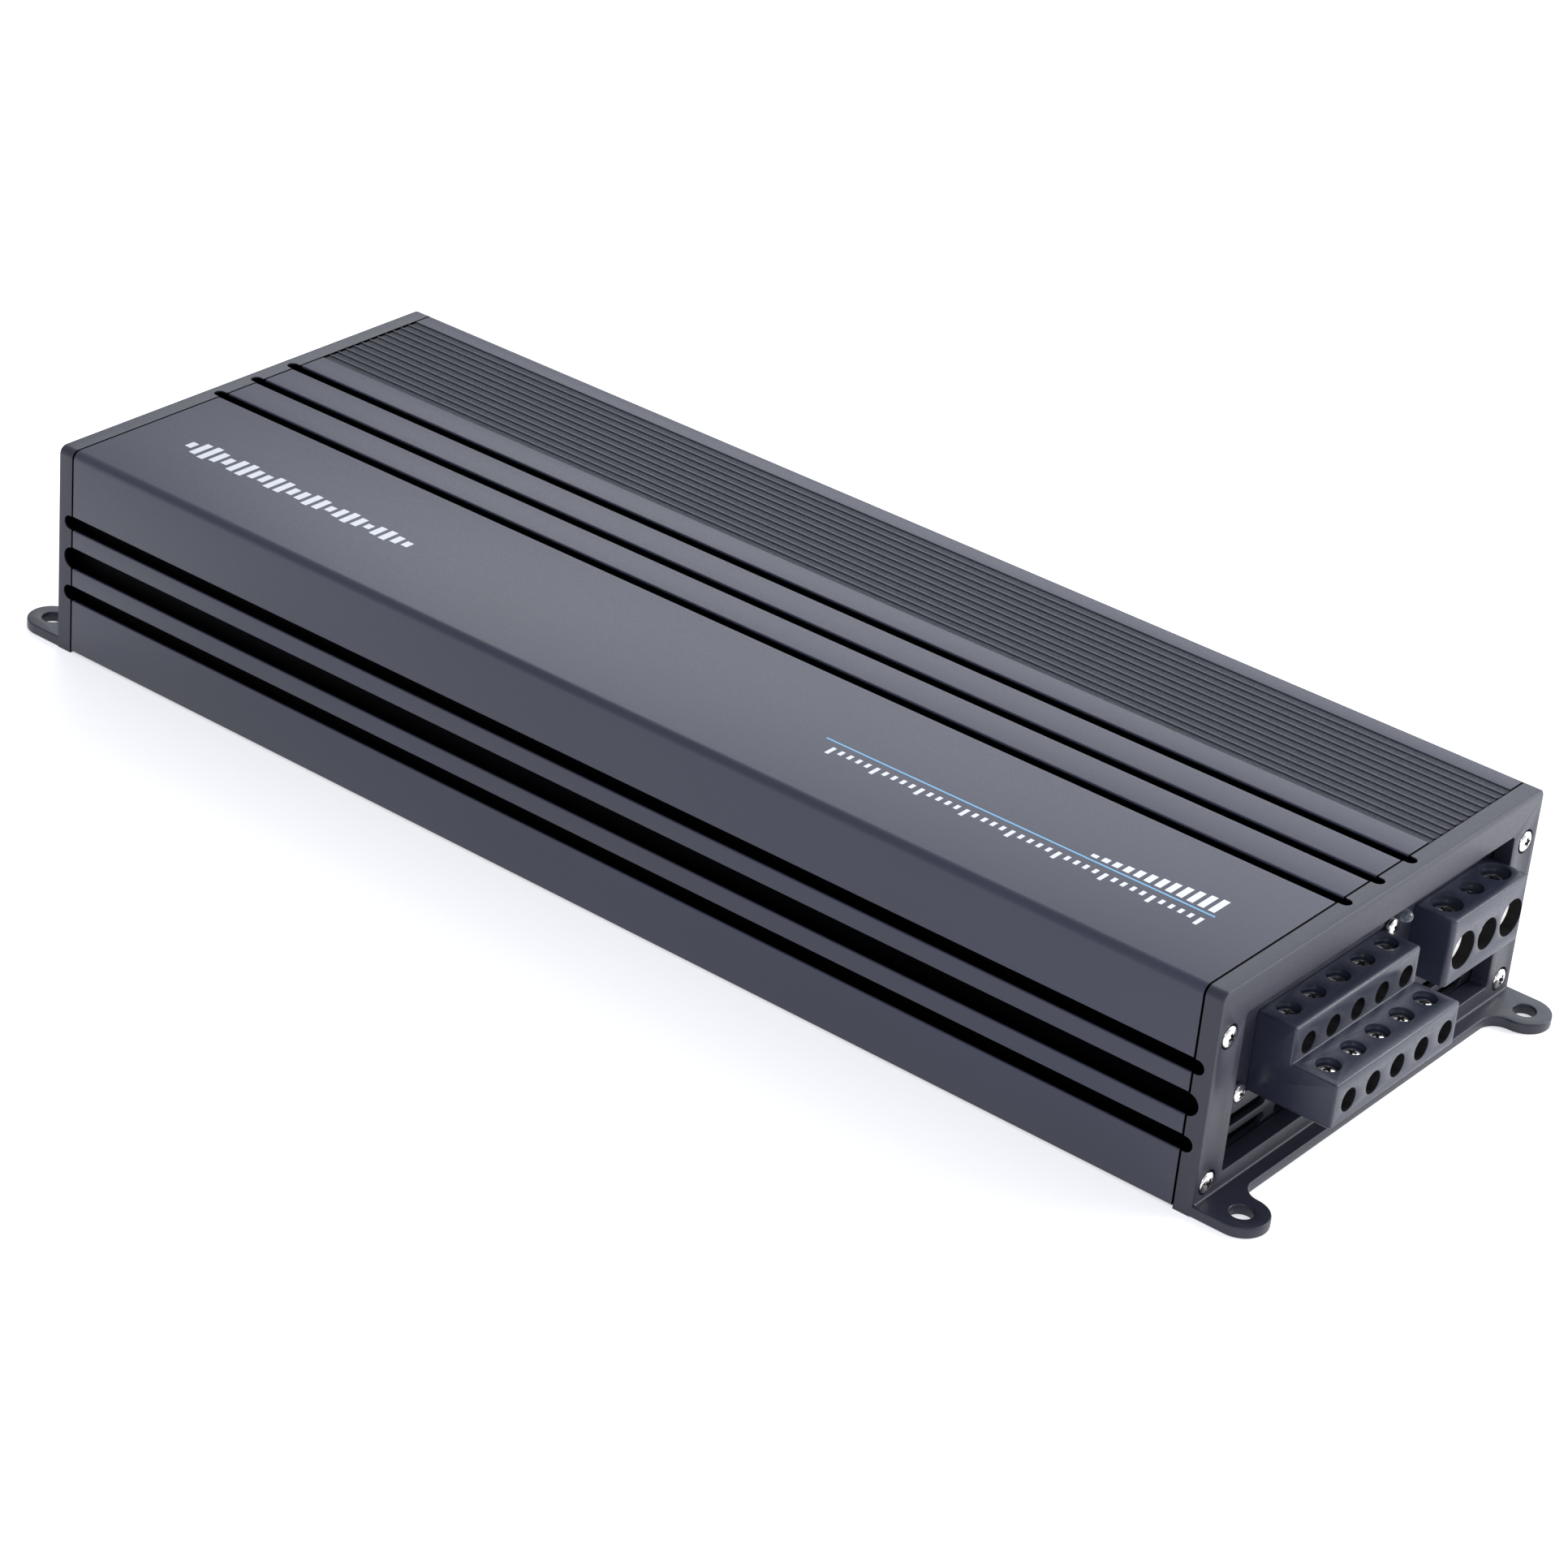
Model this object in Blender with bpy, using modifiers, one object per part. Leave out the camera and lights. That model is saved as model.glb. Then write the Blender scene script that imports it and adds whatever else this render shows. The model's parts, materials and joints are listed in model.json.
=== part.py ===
"""Five-channel car amplifier, modelled as it comes apart on a bench.

Run with: blender --background --python part.py
World frame: +X towards the terminal end, +Z up, origin on the resting plane under
the middle of the extruded shell.  Sizes below are millimetres; MM turns them into metres.
"""
import math

import bmesh
import bpy
from mathutils import Matrix

MM = 0.001
GAP = 0.3                    # clearance between touching pieces

# --- driving dimensions -------------------------------------------------------------
LENGTH = 335.0               # over the two end frames, without their ears
WIDTH = 125.2
SHELL_BOTTOM = 0.6
SHELL_TOP = 53.6
CORNER_R = 2.1
WALL = 5.0
FRAME_T = 4.5                # end frame thickness along X
FACE_X = LENGTH / 2          # outer face of an end frame
FRAME_BACK = FACE_X - FRAME_T
SHELL_END = FRAME_BACK - GAP
HALF_W = WIDTH / 2
INNER_Y = HALF_W - WALL
ROOF_Z = SHELL_TOP - WALL

# grooves run the length of the shell and end round inside the end frames
TOP_GROOVES = (-12.7, 0.0, 12.7)
TOP_GROOVE_W = 3.0
SIDE_GROOVES = ((34.8, 3.5), (25.6, 5.5), (16.2, 3.8))    # (height, width)
GROOVE_DEPTH = 2.5
GROOVE_RUN = 2.5             # how far a groove runs into a frame
FLUTES = 12
FLUTE_PITCH = 2.86
FLUTE_W = 2.3
FLUTE_DEPTH = 0.3
FIRST_FLUTE = 23.2

# end frames
WINDOW_Y = 52.5
WINDOW_LOW = 6.6
WINDOW_HIGH = 45.1
WINDOW_R = 1.0
FLANGE_T = 2.6               # base flange and mounting ears
FLANGE_OUT = 3.6
EAR_OUT = 8.2                # ear hole centre from the frame's face
EAR_IN = 6.2                 # ear hole centre from the side
EAR_R = 6.2
EAR_HOLE_R = 2.6
EAR_FILLET = 4.5
FRAME_SCREWS = tuple((side * (HALF_W - 4.7), z) for side in (-1, 1) for z in (6.4, 41.8))
SCREW_CHANNEL_R = 1.65
BOSS_R = 3.4
COUNTERBORE_R = 2.9
COUNTERBORE = 1.2
FRAME_HEAD_R = 2.45
FRAME_HEAD_H = 1.5
FRAME_SHANK_R = 1.35

# inner end panels
PANEL_T = 1.5
PANEL_X = FACE_X - 5.0       # outer face of a panel
PANEL_Y = 54.2
PANEL_LOW = 1.9
PANEL_HIGH = 48.2
VENT_ROWS = (7.6, 12.6)
VENT_H = 3.0
VENT_COLUMNS = ((-49.0, -29.9), (-25.9, -2.0), (2.0, 25.9), (29.9, 49.0))

# floor parts
COVER_T = 1.5
BOARD_Z = 3.6
BOARD_T = 1.6
LEG_Z = BOARD_Z + BOARD_T + GAP      # parts on the board stand this high
STANDOFF_R = 3.0
STANDOFF_X = (-135.0, 0.0, 135.0)
STANDOFF_Y = (-47.0, 47.0)
BOARD_HOLE_R = 1.6

# speaker terminal block: two stepped tiers of five ways
SPK_Y = (-39.0, 8.9)
SPK_Z = (18.1, 28.9, 37.5)
SPK_UPPER_X = FACE_X + 4.5
SPK_LOWER_X = FACE_X + 15.8
SPK_BACK_X = 152.0
SPK_WAYS = tuple(-33.2 + 9.4 * i for i in range(5))
SPK_SCREW_BACK = 6.0         # screw axis behind the tier's front
SPK_WIRE_R = {"upper": 2.55, "lower": 2.7}
SPK_WIRE_Z = {"upper": 31.8, "lower": 23.1}
SPK_WELL_R = 2.75
SPK_WELL_DROP = 2.7
SPK_WIRE_DEPTH = 10.0
SPK_SHANK_R = 1.35
SPK_HEAD_R = 2.3
SPK_HEAD_DROP = 1.1          # head's crown below the tier's top
REAR_FLANGE = (157.0, PANEL_X - PANEL_T - GAP)    # block rims held behind the panel
BLOCK_SCREWS = ((-43.4, 19.8), (11.2, 37.2))
BLOCK_SCREW_R = 1.2
LAMP_YZ = (15.1, 38.8)
LAMP_R = 1.5

# power terminal block: three ways, the middle one smaller
PWR_Y = (21.4, 52.1)
PWR_Z = (21.6, 38.2)
PWR_X = FACE_X + 5.1
PWR_BACK_X = 152.0
PWR_SCREW_BACK = 5.8
PWR_WIRE_Z = 29.0
PWR_WAYS = (("ground", 27.4, 4.5), ("remote", 37.3, 3.8), ("positive", 47.2, 4.5))
PWR_SHANK_R = 1.75
PWR_HEAD_DROP = 1.6
PWR_HEAD_H = 1.8
PWR_WELL_LEDGE = 0.9         # a screw well is this much narrower than its wire way
BARREL_WALL = 0.5
BARREL_BACK = PWR_X - 16.0
BARREL_FRONT = PWR_X - 3.0
BARREL_FLOOR = 1.5
PAD_T = 0.9

# control end
CTRL_FACE = -PANEL_X
BODY_FRONT = CTRL_FACE + PANEL_T + 1.2      # pots, switches and sockets start here
CONTROL_BOARD_X = -151.0
CONTROL_BODY_BACK = -149.0
KNOB_COLUMNS = (-8.0, -21.5, -35.0)
KNOB_ROWS = (16.0, 33.5)
KNOB_NAMES = ("front_level", "rear_level", "sub_level",
              "front_crossover", "rear_crossover", "sub_crossover")
KNOB_R = 4.6
KNOB_LEN = 6.6
KNOB_STANDOFF = 1.0
KNOB_SHAFT_R = 2.0
KNOB_SHAFT = 4.0
SWITCH_Y = 6.5
SWITCHES = (("input_mode_switch", 13.0), ("rear_filter_switch", 25.0),
            ("front_filter_switch", 37.0))
SWITCH_TRAVEL = 2.0
LEVER_Y = 3.0
LEVER_Z = 2.4
LEVER_OUT = 3.2
JACK_COLUMNS = (19.5, 32.5, 45.5)
JACK_ROWS = (16.0, 34.0)
JACK_R = 4.15
JACK_OUT = 8.6
JACK_BORE_R = 1.7
SOCKET_YZ = (-46.2, 16.0)
SOCKET_W = 12.0
SOCKET_H = 11.0

# inside
TRANSFORMER_X = -45.0
CAPACITOR_X = (30.0, 58.0, 86.0)
CHOKE_X = 125.0
CHOKE_Y = (-18.0, 18.0)
TRANSISTORS = 8
TRANSISTOR_PITCH = 30.0
TRANSISTOR_HALF_W = 8.0
TRANSISTOR_T = 4.6
TRANSISTOR_Z = (16.0, 36.0)
CLAMP_T = 3.0
CLAMP_Z = (21.0, 29.0)
CLAMP_HALF_LENGTH = 118.0

MODEL = "car_amplifier"
ROUND = 20                   # sides of the larger round shapes
SMALL_ROUND = 12             # sides of screws and their holes
TINY_ROUND = 8


# --- scene helpers --------------------------------------------------------------------
def clear_scene():
    for obj in list(bpy.data.objects):
        bpy.data.objects.remove(obj, do_unlink=True)


def new_collection(name):
    made = bpy.data.collections.new(name)
    bpy.context.scene.collection.children.link(made)
    return made


def make_material(name, rgb, roughness, metallic):
    mat = bpy.data.materials.new(name)
    mat.use_nodes = True
    shader = mat.node_tree.nodes["Principled BSDF"]
    shader.inputs["Base Color"].default_value = (*rgb, 1.0)
    shader.inputs["Roughness"].default_value = roughness
    shader.inputs["Metallic"].default_value = metallic
    mat.diffuse_color = (*rgb, 1.0)
    return mat


def add_mesh(bm, name, where=None):
    """Turn a bmesh in millimetres into a linked object in metres."""
    bmesh.ops.scale(bm, vec=(MM, MM, MM), verts=bm.verts)
    mesh = bpy.data.meshes.new(name)
    bm.to_mesh(mesh)
    bm.free()
    obj = bpy.data.objects.new(name, mesh)
    (where or parts).objects.link(obj)
    return obj


def as_part(obj, name, mat):
    obj.name = name
    obj.data.name = name
    obj.data.materials.clear()
    obj.data.materials.append(mat)
    obj.data.shade_smooth()
    obj.data.set_sharp_from_angle(angle=math.radians(35))
    return obj


def as_tool(obj):
    obj.hide_render = True
    obj.display_type = "WIRE"
    return obj


def boolean(target, tool, operation="DIFFERENCE"):
    mod = target.modifiers.new(operation.title(), "BOOLEAN")
    mod.operation = operation
    mod.solver = "EXACT"
    mod.object = tool
    return target


def along(axis):
    """Rotation that takes local +Z to the named axis."""
    turns = {"Z": Matrix.Identity(4),
             "X": Matrix.Rotation(math.pi / 2, 4, "Y"),
             "Y": Matrix.Rotation(-math.pi / 2, 4, "X")}
    return turns[axis]


def box(low, high, where=None, name="box"):
    bm = bmesh.new()
    bmesh.ops.create_cube(bm, size=1.0)
    size = [h - l for l, h in zip(low, high)]
    mid = [(h + l) / 2 for l, h in zip(low, high)]
    bmesh.ops.scale(bm, vec=size, verts=bm.verts)
    bmesh.ops.translate(bm, vec=mid, verts=bm.verts)
    return add_mesh(bm, name, where)


def rod(start, radius, length, axis, segments=ROUND, where=None, name="rod"):
    """Cylinder from start, running length along +axis."""
    bm = bmesh.new()
    bmesh.ops.create_cone(bm, cap_ends=True, segments=segments,
                          radius1=radius, radius2=radius, depth=length)
    bmesh.ops.translate(bm, vec=(0, 0, length / 2), verts=bm.verts)
    bmesh.ops.transform(bm, matrix=along(axis), verts=bm.verts)
    bmesh.ops.translate(bm, vec=start, verts=bm.verts)
    return add_mesh(bm, name, where)


def tool_box(low, high):
    return as_tool(box(low, high, tools))


def tool_rod(start, radius, length, axis, segments=ROUND):
    return as_tool(rod(start, radius, length, axis, segments, tools))


def turned(name, profile, segments, where=None):
    """Turned piece about local Z from (radius, height) points, top to bottom."""
    bm = bmesh.new()
    verts = [bm.verts.new((r, 0, z)) for r, z in profile]
    for a, b in zip(verts, verts[1:]):
        bm.edges.new((a, b))
    obj = add_mesh(bm, name, where)
    mod = obj.modifiers.new("Screw", "SCREW")
    mod.steps = segments
    mod.render_steps = segments
    mod.use_merge_vertices = True
    mod.merge_threshold = 0.00001
    return obj


def extruded(name, loops, thickness, frame, where=None):
    """Flat outline with holes, filled and extruded; frame maps it into the world."""
    curve = bpy.data.curves.new(name, "CURVE")
    curve.dimensions = "2D"
    curve.fill_mode = "BOTH"
    curve.extrude = thickness / 2 * MM
    for loop in loops:
        spline = curve.splines.new("POLY")
        spline.points.add(len(loop) - 1)
        for point, (u, v) in zip(spline.points, loop):
            point.co = (u * MM, v * MM, 0, 1)
        spline.use_cyclic_u = True
    draft = bpy.data.objects.new(name, curve)
    parts.objects.link(draft)
    bpy.context.view_layer.update()
    shaped = draft.evaluated_get(bpy.context.evaluated_depsgraph_get())
    mesh = bpy.data.meshes.new_from_object(shaped)
    bm = bmesh.new()
    bm.from_mesh(mesh)
    bmesh.ops.remove_doubles(bm, verts=bm.verts, dist=0.000001)
    bmesh.ops.transform(bm, matrix=frame, verts=bm.verts)
    bmesh.ops.recalc_face_normals(bm, faces=bm.faces)
    bm.to_mesh(mesh)
    bm.free()
    bpy.data.objects.remove(draft)
    obj = bpy.data.objects.new(name, mesh)
    (where or parts).objects.link(obj)
    return obj


def lying(height):
    """Outline (x, y) laid flat with its middle plane at this height."""
    return Matrix.Translation((0, 0, height * MM))


def upright(x):
    """Outline (y, z) stood up across the shell with its middle plane at x."""
    basis = Matrix(((0, 0, 1, x * MM), (1, 0, 0, 0), (0, 1, 0, 0), (0, 0, 0, 1)))
    return basis


def sideways(y):
    """Outline (x, z) stood up along the shell with its middle plane at y."""
    return Matrix(((1, 0, 0, 0), (0, 0, -1, y * MM), (0, 1, 0, 0), (0, 0, 0, 1)))


# --- outline helpers ------------------------------------------------------------------
def arc(cu, cv, radius, start, end, steps):
    """Points on an arc, angles in degrees."""
    points = []
    for i in range(steps + 1):
        a = math.radians(start + (end - start) * i / steps)
        points.append((cu + radius * math.cos(a), cv + radius * math.sin(a)))
    return points


def circle(cu, cv, radius, steps=ROUND):
    return arc(cu, cv, radius, 0, 360 * (steps - 1) / steps, steps - 1)


def rounded_rect(u0, u1, v0, v1, radius, steps=4):
    corners = ((u1 - radius, v1 - radius, 0), (u0 + radius, v1 - radius, 90),
               (u0 + radius, v0 + radius, 180), (u1 - radius, v0 + radius, 270))
    points = []
    for cu, cv, start in corners:
        points += arc(cu, cv, radius, start, start + 90, steps)
    return points


def notch(centre, width, depth, edge, inward, level):
    """Four points of a rectangular notch met while walking an edge.

    edge is the walking direction, inward points into the material, and level is
    a point on the edge line from which centre is measured along the edge."""
    points = []
    for along_edge, down in ((-width / 2, 0), (-width / 2, depth),
                             (width / 2, depth), (width / 2, 0)):
        s = centre + along_edge
        points.append((level[0] + edge[0] * s + inward[0] * down,
                       level[1] + edge[1] * s + inward[1] * down))
    return points


def flute_centres():
    return [FIRST_FLUTE + FLUTE_PITCH * i for i in range(FLUTES)]


# --- extruded shell -------------------------------------------------------------------
def shell_outline():
    """Inverted U walked from the near foot, over the top, and back along the inside."""
    points = [(-HALF_W, SHELL_BOTTOM)]
    for z, width in reversed(SIDE_GROOVES):
        points += notch(z, width, GROOVE_DEPTH, (0, 1), (1, 0), (-HALF_W, 0))
    points += arc(-HALF_W + CORNER_R, SHELL_TOP - CORNER_R, CORNER_R, 180, 90, 5)
    for y in TOP_GROOVES:
        points += notch(y, TOP_GROOVE_W, GROOVE_DEPTH, (1, 0), (0, -1), (0, SHELL_TOP))
    for y in flute_centres():
        points += notch(y, FLUTE_W, FLUTE_DEPTH, (1, 0), (0, -1), (0, SHELL_TOP))
    points += arc(HALF_W - CORNER_R, SHELL_TOP - CORNER_R, CORNER_R, 90, 0, 5)
    for z, width in SIDE_GROOVES:
        points += notch(-z, width, GROOVE_DEPTH, (0, -1), (-1, 0), (HALF_W, 0))
    points.append((HALF_W, SHELL_BOTTOM))
    points.append((INNER_Y, SHELL_BOTTOM))
    boss_y = FRAME_SCREWS[-1][0]
    heights = [z for y, z in FRAME_SCREWS if y > 0]
    for z in heights:
        points += boss_bump(boss_y, z)
    points += [(INNER_Y, ROOF_Z), (-INNER_Y, ROOF_Z)]
    for z in reversed(heights):
        points += [(-y, v) for y, v in reversed(boss_bump(boss_y, z))]
    points.append((-INNER_Y, SHELL_BOTTOM))
    return points


def boss_bump(y, z):
    """Inner side of a screw channel, walked upwards from wall to wall."""
    lean = math.degrees(math.acos((INNER_Y - y) / BOSS_R))
    return arc(y, z, BOSS_R, 360 - lean, lean, 6)


def make_shell():
    loops = [shell_outline()]
    loops += [circle(y, z, SCREW_CHANNEL_R, TINY_ROUND) for y, z in FRAME_SCREWS]
    shell = extruded("heatsink_shell", loops, 2 * SHELL_END, upright(0))
    return as_part(shell, "heatsink_shell", paint)


# --- end frames -----------------------------------------------------------------------
def flange_outline(side):
    """Base flange with its two ears, seen from above; side is +1 or -1 along X."""
    half = []
    ear_y = HALF_W - EAR_IN
    inner_edge = ear_y - EAR_R
    flange_x = FACE_X + FLANGE_OUT
    half += arc(FACE_X + EAR_OUT, ear_y, EAR_R, 90, -90, 8)
    half += arc(flange_x + EAR_FILLET, inner_edge - EAR_FILLET, EAR_FILLET, 90, 180, 4)
    lower = [(x, -y) for x, y in reversed(half)]
    points = [(FRAME_BACK, HALF_W), (FACE_X, HALF_W)] + half
    points += lower + [(FACE_X, -HALF_W), (FRAME_BACK, -HALF_W)]
    return [(side * x, y) for x, y in points]


def frame_outline():
    points = [(-HALF_W, 0), (-HALF_W, SHELL_TOP - CORNER_R)]
    points += arc(-HALF_W + CORNER_R, SHELL_TOP - CORNER_R, CORNER_R, 180, 90, 5)[1:]
    points += arc(HALF_W - CORNER_R, SHELL_TOP - CORNER_R, CORNER_R, 90, 0, 5)
    points.append((HALF_W, 0))
    return points


def groove_end(side, centre, width, axis):
    """Round-ended cutter that carries a shell groove into an end frame."""
    overshoot = 1.0
    depth = GROOVE_DEPTH + overshoot
    r = width / 2
    start = FRAME_BACK - overshoot
    stop = FRAME_BACK + GROOVE_RUN - r
    outline = [(start, centre - r)] + arc(stop, centre, r, -90, 90, 4) + [(start, centre + r)]
    outline = [(side * u, v) for u, v in outline]
    if axis == "Z":
        placed = lying(SHELL_TOP + (overshoot - GROOVE_DEPTH) / 2)
        return as_tool(extruded("groove_end", [outline], depth, placed, tools))
    ends = []
    for hand in (-1, 1):
        middle = hand * (HALF_W + (overshoot - GROOVE_DEPTH) / 2)
        ends.append(as_tool(extruded("groove_end", [outline], depth, sideways(middle), tools)))
    return ends


def make_end_frame(name, side):
    window = rounded_rect(-WINDOW_Y, WINDOW_Y, WINDOW_LOW, WINDOW_HIGH, WINDOW_R)
    middle = side * (FRAME_BACK + FACE_X) / 2
    frame = extruded(name, [frame_outline(), window], FRAME_T, upright(middle))
    ear_y = HALF_W - EAR_IN
    holes = [circle(side * (FACE_X + EAR_OUT), hand * ear_y, EAR_HOLE_R, SMALL_ROUND)
             for hand in (-1, 1)]
    flange = as_tool(extruded("flange", [flange_outline(side)] + holes, FLANGE_T,
                              lying(FLANGE_T / 2), tools))
    boolean(frame, flange, "UNION")
    for y in TOP_GROOVES:
        boolean(frame, groove_end(side, y, TOP_GROOVE_W, "Z"))
    for z, width in SIDE_GROOVES:
        for tool in groove_end(side, z, width, "Y"):
            boolean(frame, tool)
    for y, z in FRAME_SCREWS:
        outer = FACE_X - COUNTERBORE if side > 0 else -FACE_X - 1
        back = FRAME_BACK - 1 if side > 0 else -FACE_X - 1
        boolean(frame, tool_rod((outer, y, z), COUNTERBORE_R, COUNTERBORE + 1, "X", SMALL_ROUND))
        boolean(frame, tool_rod((back, y, z), SCREW_CHANNEL_R, FRAME_T + 2, "X", TINY_ROUND))
    return as_part(frame, name, paint)


# --- inner panels ---------------------------------------------------------------------
def make_panel(name, side, openings):
    """Thin steel panel behind an end frame; openings are (y, z) loops cut through it."""
    outline = rounded_rect(-PANEL_Y, PANEL_Y, PANEL_LOW, PANEL_HIGH, 1.0, 2)
    middle = side * (PANEL_X - PANEL_T / 2)
    panel = extruded(name, [outline] + openings, PANEL_T, upright(middle))
    return as_part(panel, name, panel_paint)


def clear_rect(y0, y1, z0, z1):
    return [(y0 - GAP, z0 - GAP), (y1 + GAP, z0 - GAP),
            (y1 + GAP, z1 + GAP), (y0 - GAP, z1 + GAP)]


def make_terminal_panel():
    loops = []
    for row in VENT_ROWS:
        for y0, y1 in VENT_COLUMNS:
            loops.append(rounded_rect(y0, y1, row - VENT_H / 2, row + VENT_H / 2,
                                      VENT_H / 2 - 0.05, 3))
    loops.append(clear_rect(*SPK_Y, SPK_Z[0], SPK_Z[2]))
    loops.append(clear_rect(*PWR_Y, *PWR_Z))
    loops.append(circle(*LAMP_YZ, LAMP_R + GAP, SMALL_ROUND))
    loops += [circle(y, z, BLOCK_SCREW_R + GAP, TINY_ROUND) for y, z in BLOCK_SCREWS]
    return make_panel("terminal_panel", 1, loops)


def make_control_panel():
    loops = [circle(y, z, KNOB_SHAFT_R + GAP, TINY_ROUND) for y, z in knob_places()]
    for _, z in SWITCHES:
        reach = SWITCH_TRAVEL + LEVER_Y / 2
        loops.append(clear_rect(SWITCH_Y - reach, SWITCH_Y + reach,
                                z - LEVER_Z / 2, z + LEVER_Z / 2))
    loops += [circle(y, z, JACK_R + GAP, SMALL_ROUND) for y in JACK_COLUMNS for z in JACK_ROWS]
    y, z = SOCKET_YZ
    loops.append(clear_rect(y - SOCKET_W / 2, y + SOCKET_W / 2,
                            z - SOCKET_H / 2, z + SOCKET_H / 2))
    return make_panel("control_panel", -1, loops)


# --- floor ----------------------------------------------------------------------------
def standoff_places():
    return [(x, y) for x in STANDOFF_X for y in STANDOFF_Y]


def make_bottom_cover():
    edge = INNER_Y - GAP
    cover = box((-SHELL_END, -edge, 0), (SHELL_END, edge, COVER_T))
    height = BOARD_Z - GAP - COVER_T
    for x, y in standoff_places():
        post = rod((x, y, COVER_T - 0.5), STANDOFF_R, height + 0.5, "Z", SMALL_ROUND, tools)
        boolean(cover, as_tool(post), "UNION")
    return as_part(cover, "bottom_cover", steel)


def make_circuit_board():
    end = PANEL_X - PANEL_T - 1.0
    edge = PANEL_Y - 0.4
    outline = rounded_rect(-end, end, -edge, edge, 1.5, 2)
    holes = [circle(x, y, BOARD_HOLE_R, TINY_ROUND) for x, y in standoff_places()]
    board = extruded("circuit_board", [outline] + holes, BOARD_T, lying(BOARD_Z + BOARD_T / 2))
    return as_part(board, "circuit_board", board_green)


# --- terminal blocks ------------------------------------------------------------------
def drill_well(block, x, y, top, well_r, shank_r, wire_z, drop):
    """Screw well from the top, with a ledge for the head and a hole on to the wire way."""
    boolean(block, tool_rod((x, y, top - drop), well_r, drop + 1, "Z", SMALL_ROUND))
    boolean(block, tool_rod((x, y, wire_z), shank_r, top - wire_z, "Z", TINY_ROUND))


def make_speaker_block():
    y0, y1 = SPK_Y
    low, step, top = SPK_Z
    side = [(SPK_BACK_X, low), (SPK_LOWER_X, low), (SPK_LOWER_X, step), (SPK_UPPER_X, step),
            (SPK_UPPER_X, top), (SPK_BACK_X, top)]
    block = extruded("speaker_terminal_block", [side], y1 - y0, sideways((y0 + y1) / 2))
    flange_x0, flange_x1 = REAR_FLANGE
    boolean(block, as_tool(box((flange_x0, y0 - 7.5, low - 2), (flange_x1, y1 + 4.3, top + 2),
                               tools)), "UNION")
    boolean(block, as_tool(box((SPK_BACK_X + 1, y0 + 3, LEG_Z), (flange_x0 + 1, y1 - 3, low + 1),
                               tools)), "UNION")
    for tier, front, crown in (("upper", SPK_UPPER_X, top), ("lower", SPK_LOWER_X, step)):
        for y in SPK_WAYS:
            start = (front - SPK_WIRE_DEPTH, y, SPK_WIRE_Z[tier])
            boolean(block, tool_rod(start, SPK_WIRE_R[tier], SPK_WIRE_DEPTH + 1, "X",
                                    SMALL_ROUND))
            drill_well(block, front - SPK_SCREW_BACK, y, crown, SPK_WELL_R,
                       SPK_SHANK_R + GAP, SPK_WIRE_Z[tier], SPK_WELL_DROP)
    for y, z in BLOCK_SCREWS:
        boolean(block, tool_rod((flange_x0 - 1, y, z), BLOCK_SCREW_R + GAP, 6, "X", TINY_ROUND))
    return as_part(block, "speaker_terminal_block", block_plastic)


def make_power_block():
    low, top = PWR_Z
    y0, y1 = PWR_Y
    block = box((PWR_BACK_X, y0, low), (PWR_X, y1, top))
    flange_x0, flange_x1 = REAR_FLANGE
    boolean(block, as_tool(box((flange_x0, y0 - 3, low - 3), (flange_x1, y1 + 1.5, top + 2),
                               tools)), "UNION")
    boolean(block, as_tool(box((PWR_BACK_X + 1, y0 + 3, LEG_Z), (flange_x0 + 1, y1 - 3, low + 1),
                               tools)), "UNION")
    for _, y, r in PWR_WAYS:
        boolean(block, tool_rod((BARREL_BACK - GAP, y, PWR_WIRE_Z), r, 30, "X"))
        boolean(block, tool_rod((PWR_X - PWR_SCREW_BACK, y, PWR_WIRE_Z),
                                r - PWR_WELL_LEDGE, 20, "Z"))
    return as_part(block, "power_terminal_block", block_plastic)


def make_power_clamp(way, y, r):
    """Metal barrel, clamp screw and pressure pad of one power way."""
    x = PWR_X - PWR_SCREW_BACK
    outer = r - GAP
    bore = outer - BARREL_WALL
    barrel = rod((BARREL_BACK, y, PWR_WIRE_Z), outer, BARREL_FRONT - BARREL_BACK, "X")
    boolean(barrel, tool_rod((BARREL_BACK + BARREL_FLOOR, y, PWR_WIRE_Z), bore, 20, "X"))
    boolean(barrel, tool_rod((x, y, PWR_WIRE_Z), PWR_SHANK_R + GAP, 8, "Z", TINY_ROUND))
    as_part(barrel, f"power_barrel_{way}", nickel)

    head_top = PWR_Z[1] - PWR_HEAD_DROP
    head = r - 1.6
    head_low = head_top - PWR_HEAD_H
    pad_top = PWR_WIRE_Z - 0.4
    profile = [(0, head_top), (head * 0.8, head_top), (head, head_top - 0.6),
               (head, head_low), (PWR_SHANK_R, head_low), (PWR_SHANK_R, pad_top + GAP),
               (0, pad_top + GAP)]
    screw = turned(f"power_screw_{way}", [(u, v - head_top) for u, v in profile], SMALL_ROUND)
    screw.location = (x * MM, y * MM, head_top * MM)
    cross_recess(screw, head * 0.62, 1.1, (x, y, head_top))
    as_part(screw, f"power_screw_{way}", nickel)

    half = bore * 0.55
    pad = box((x - half, y - half, pad_top - PAD_T), (x + half, y + half, pad_top))
    as_part(pad, f"power_pad_{way}", nickel)


# --- fasteners ------------------------------------------------------------------------
def cross_recess(screw, reach, depth, centre):
    """Two crossed slots in a screw head, cut along its own Z at centre."""
    for dx, dy in ((reach, 0.3), (0.3, reach)):
        x, y, z = centre
        boolean(screw, tool_box((x - dx, y - dy, z - depth), (x + dx, y + dy, z + 0.5)))


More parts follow.
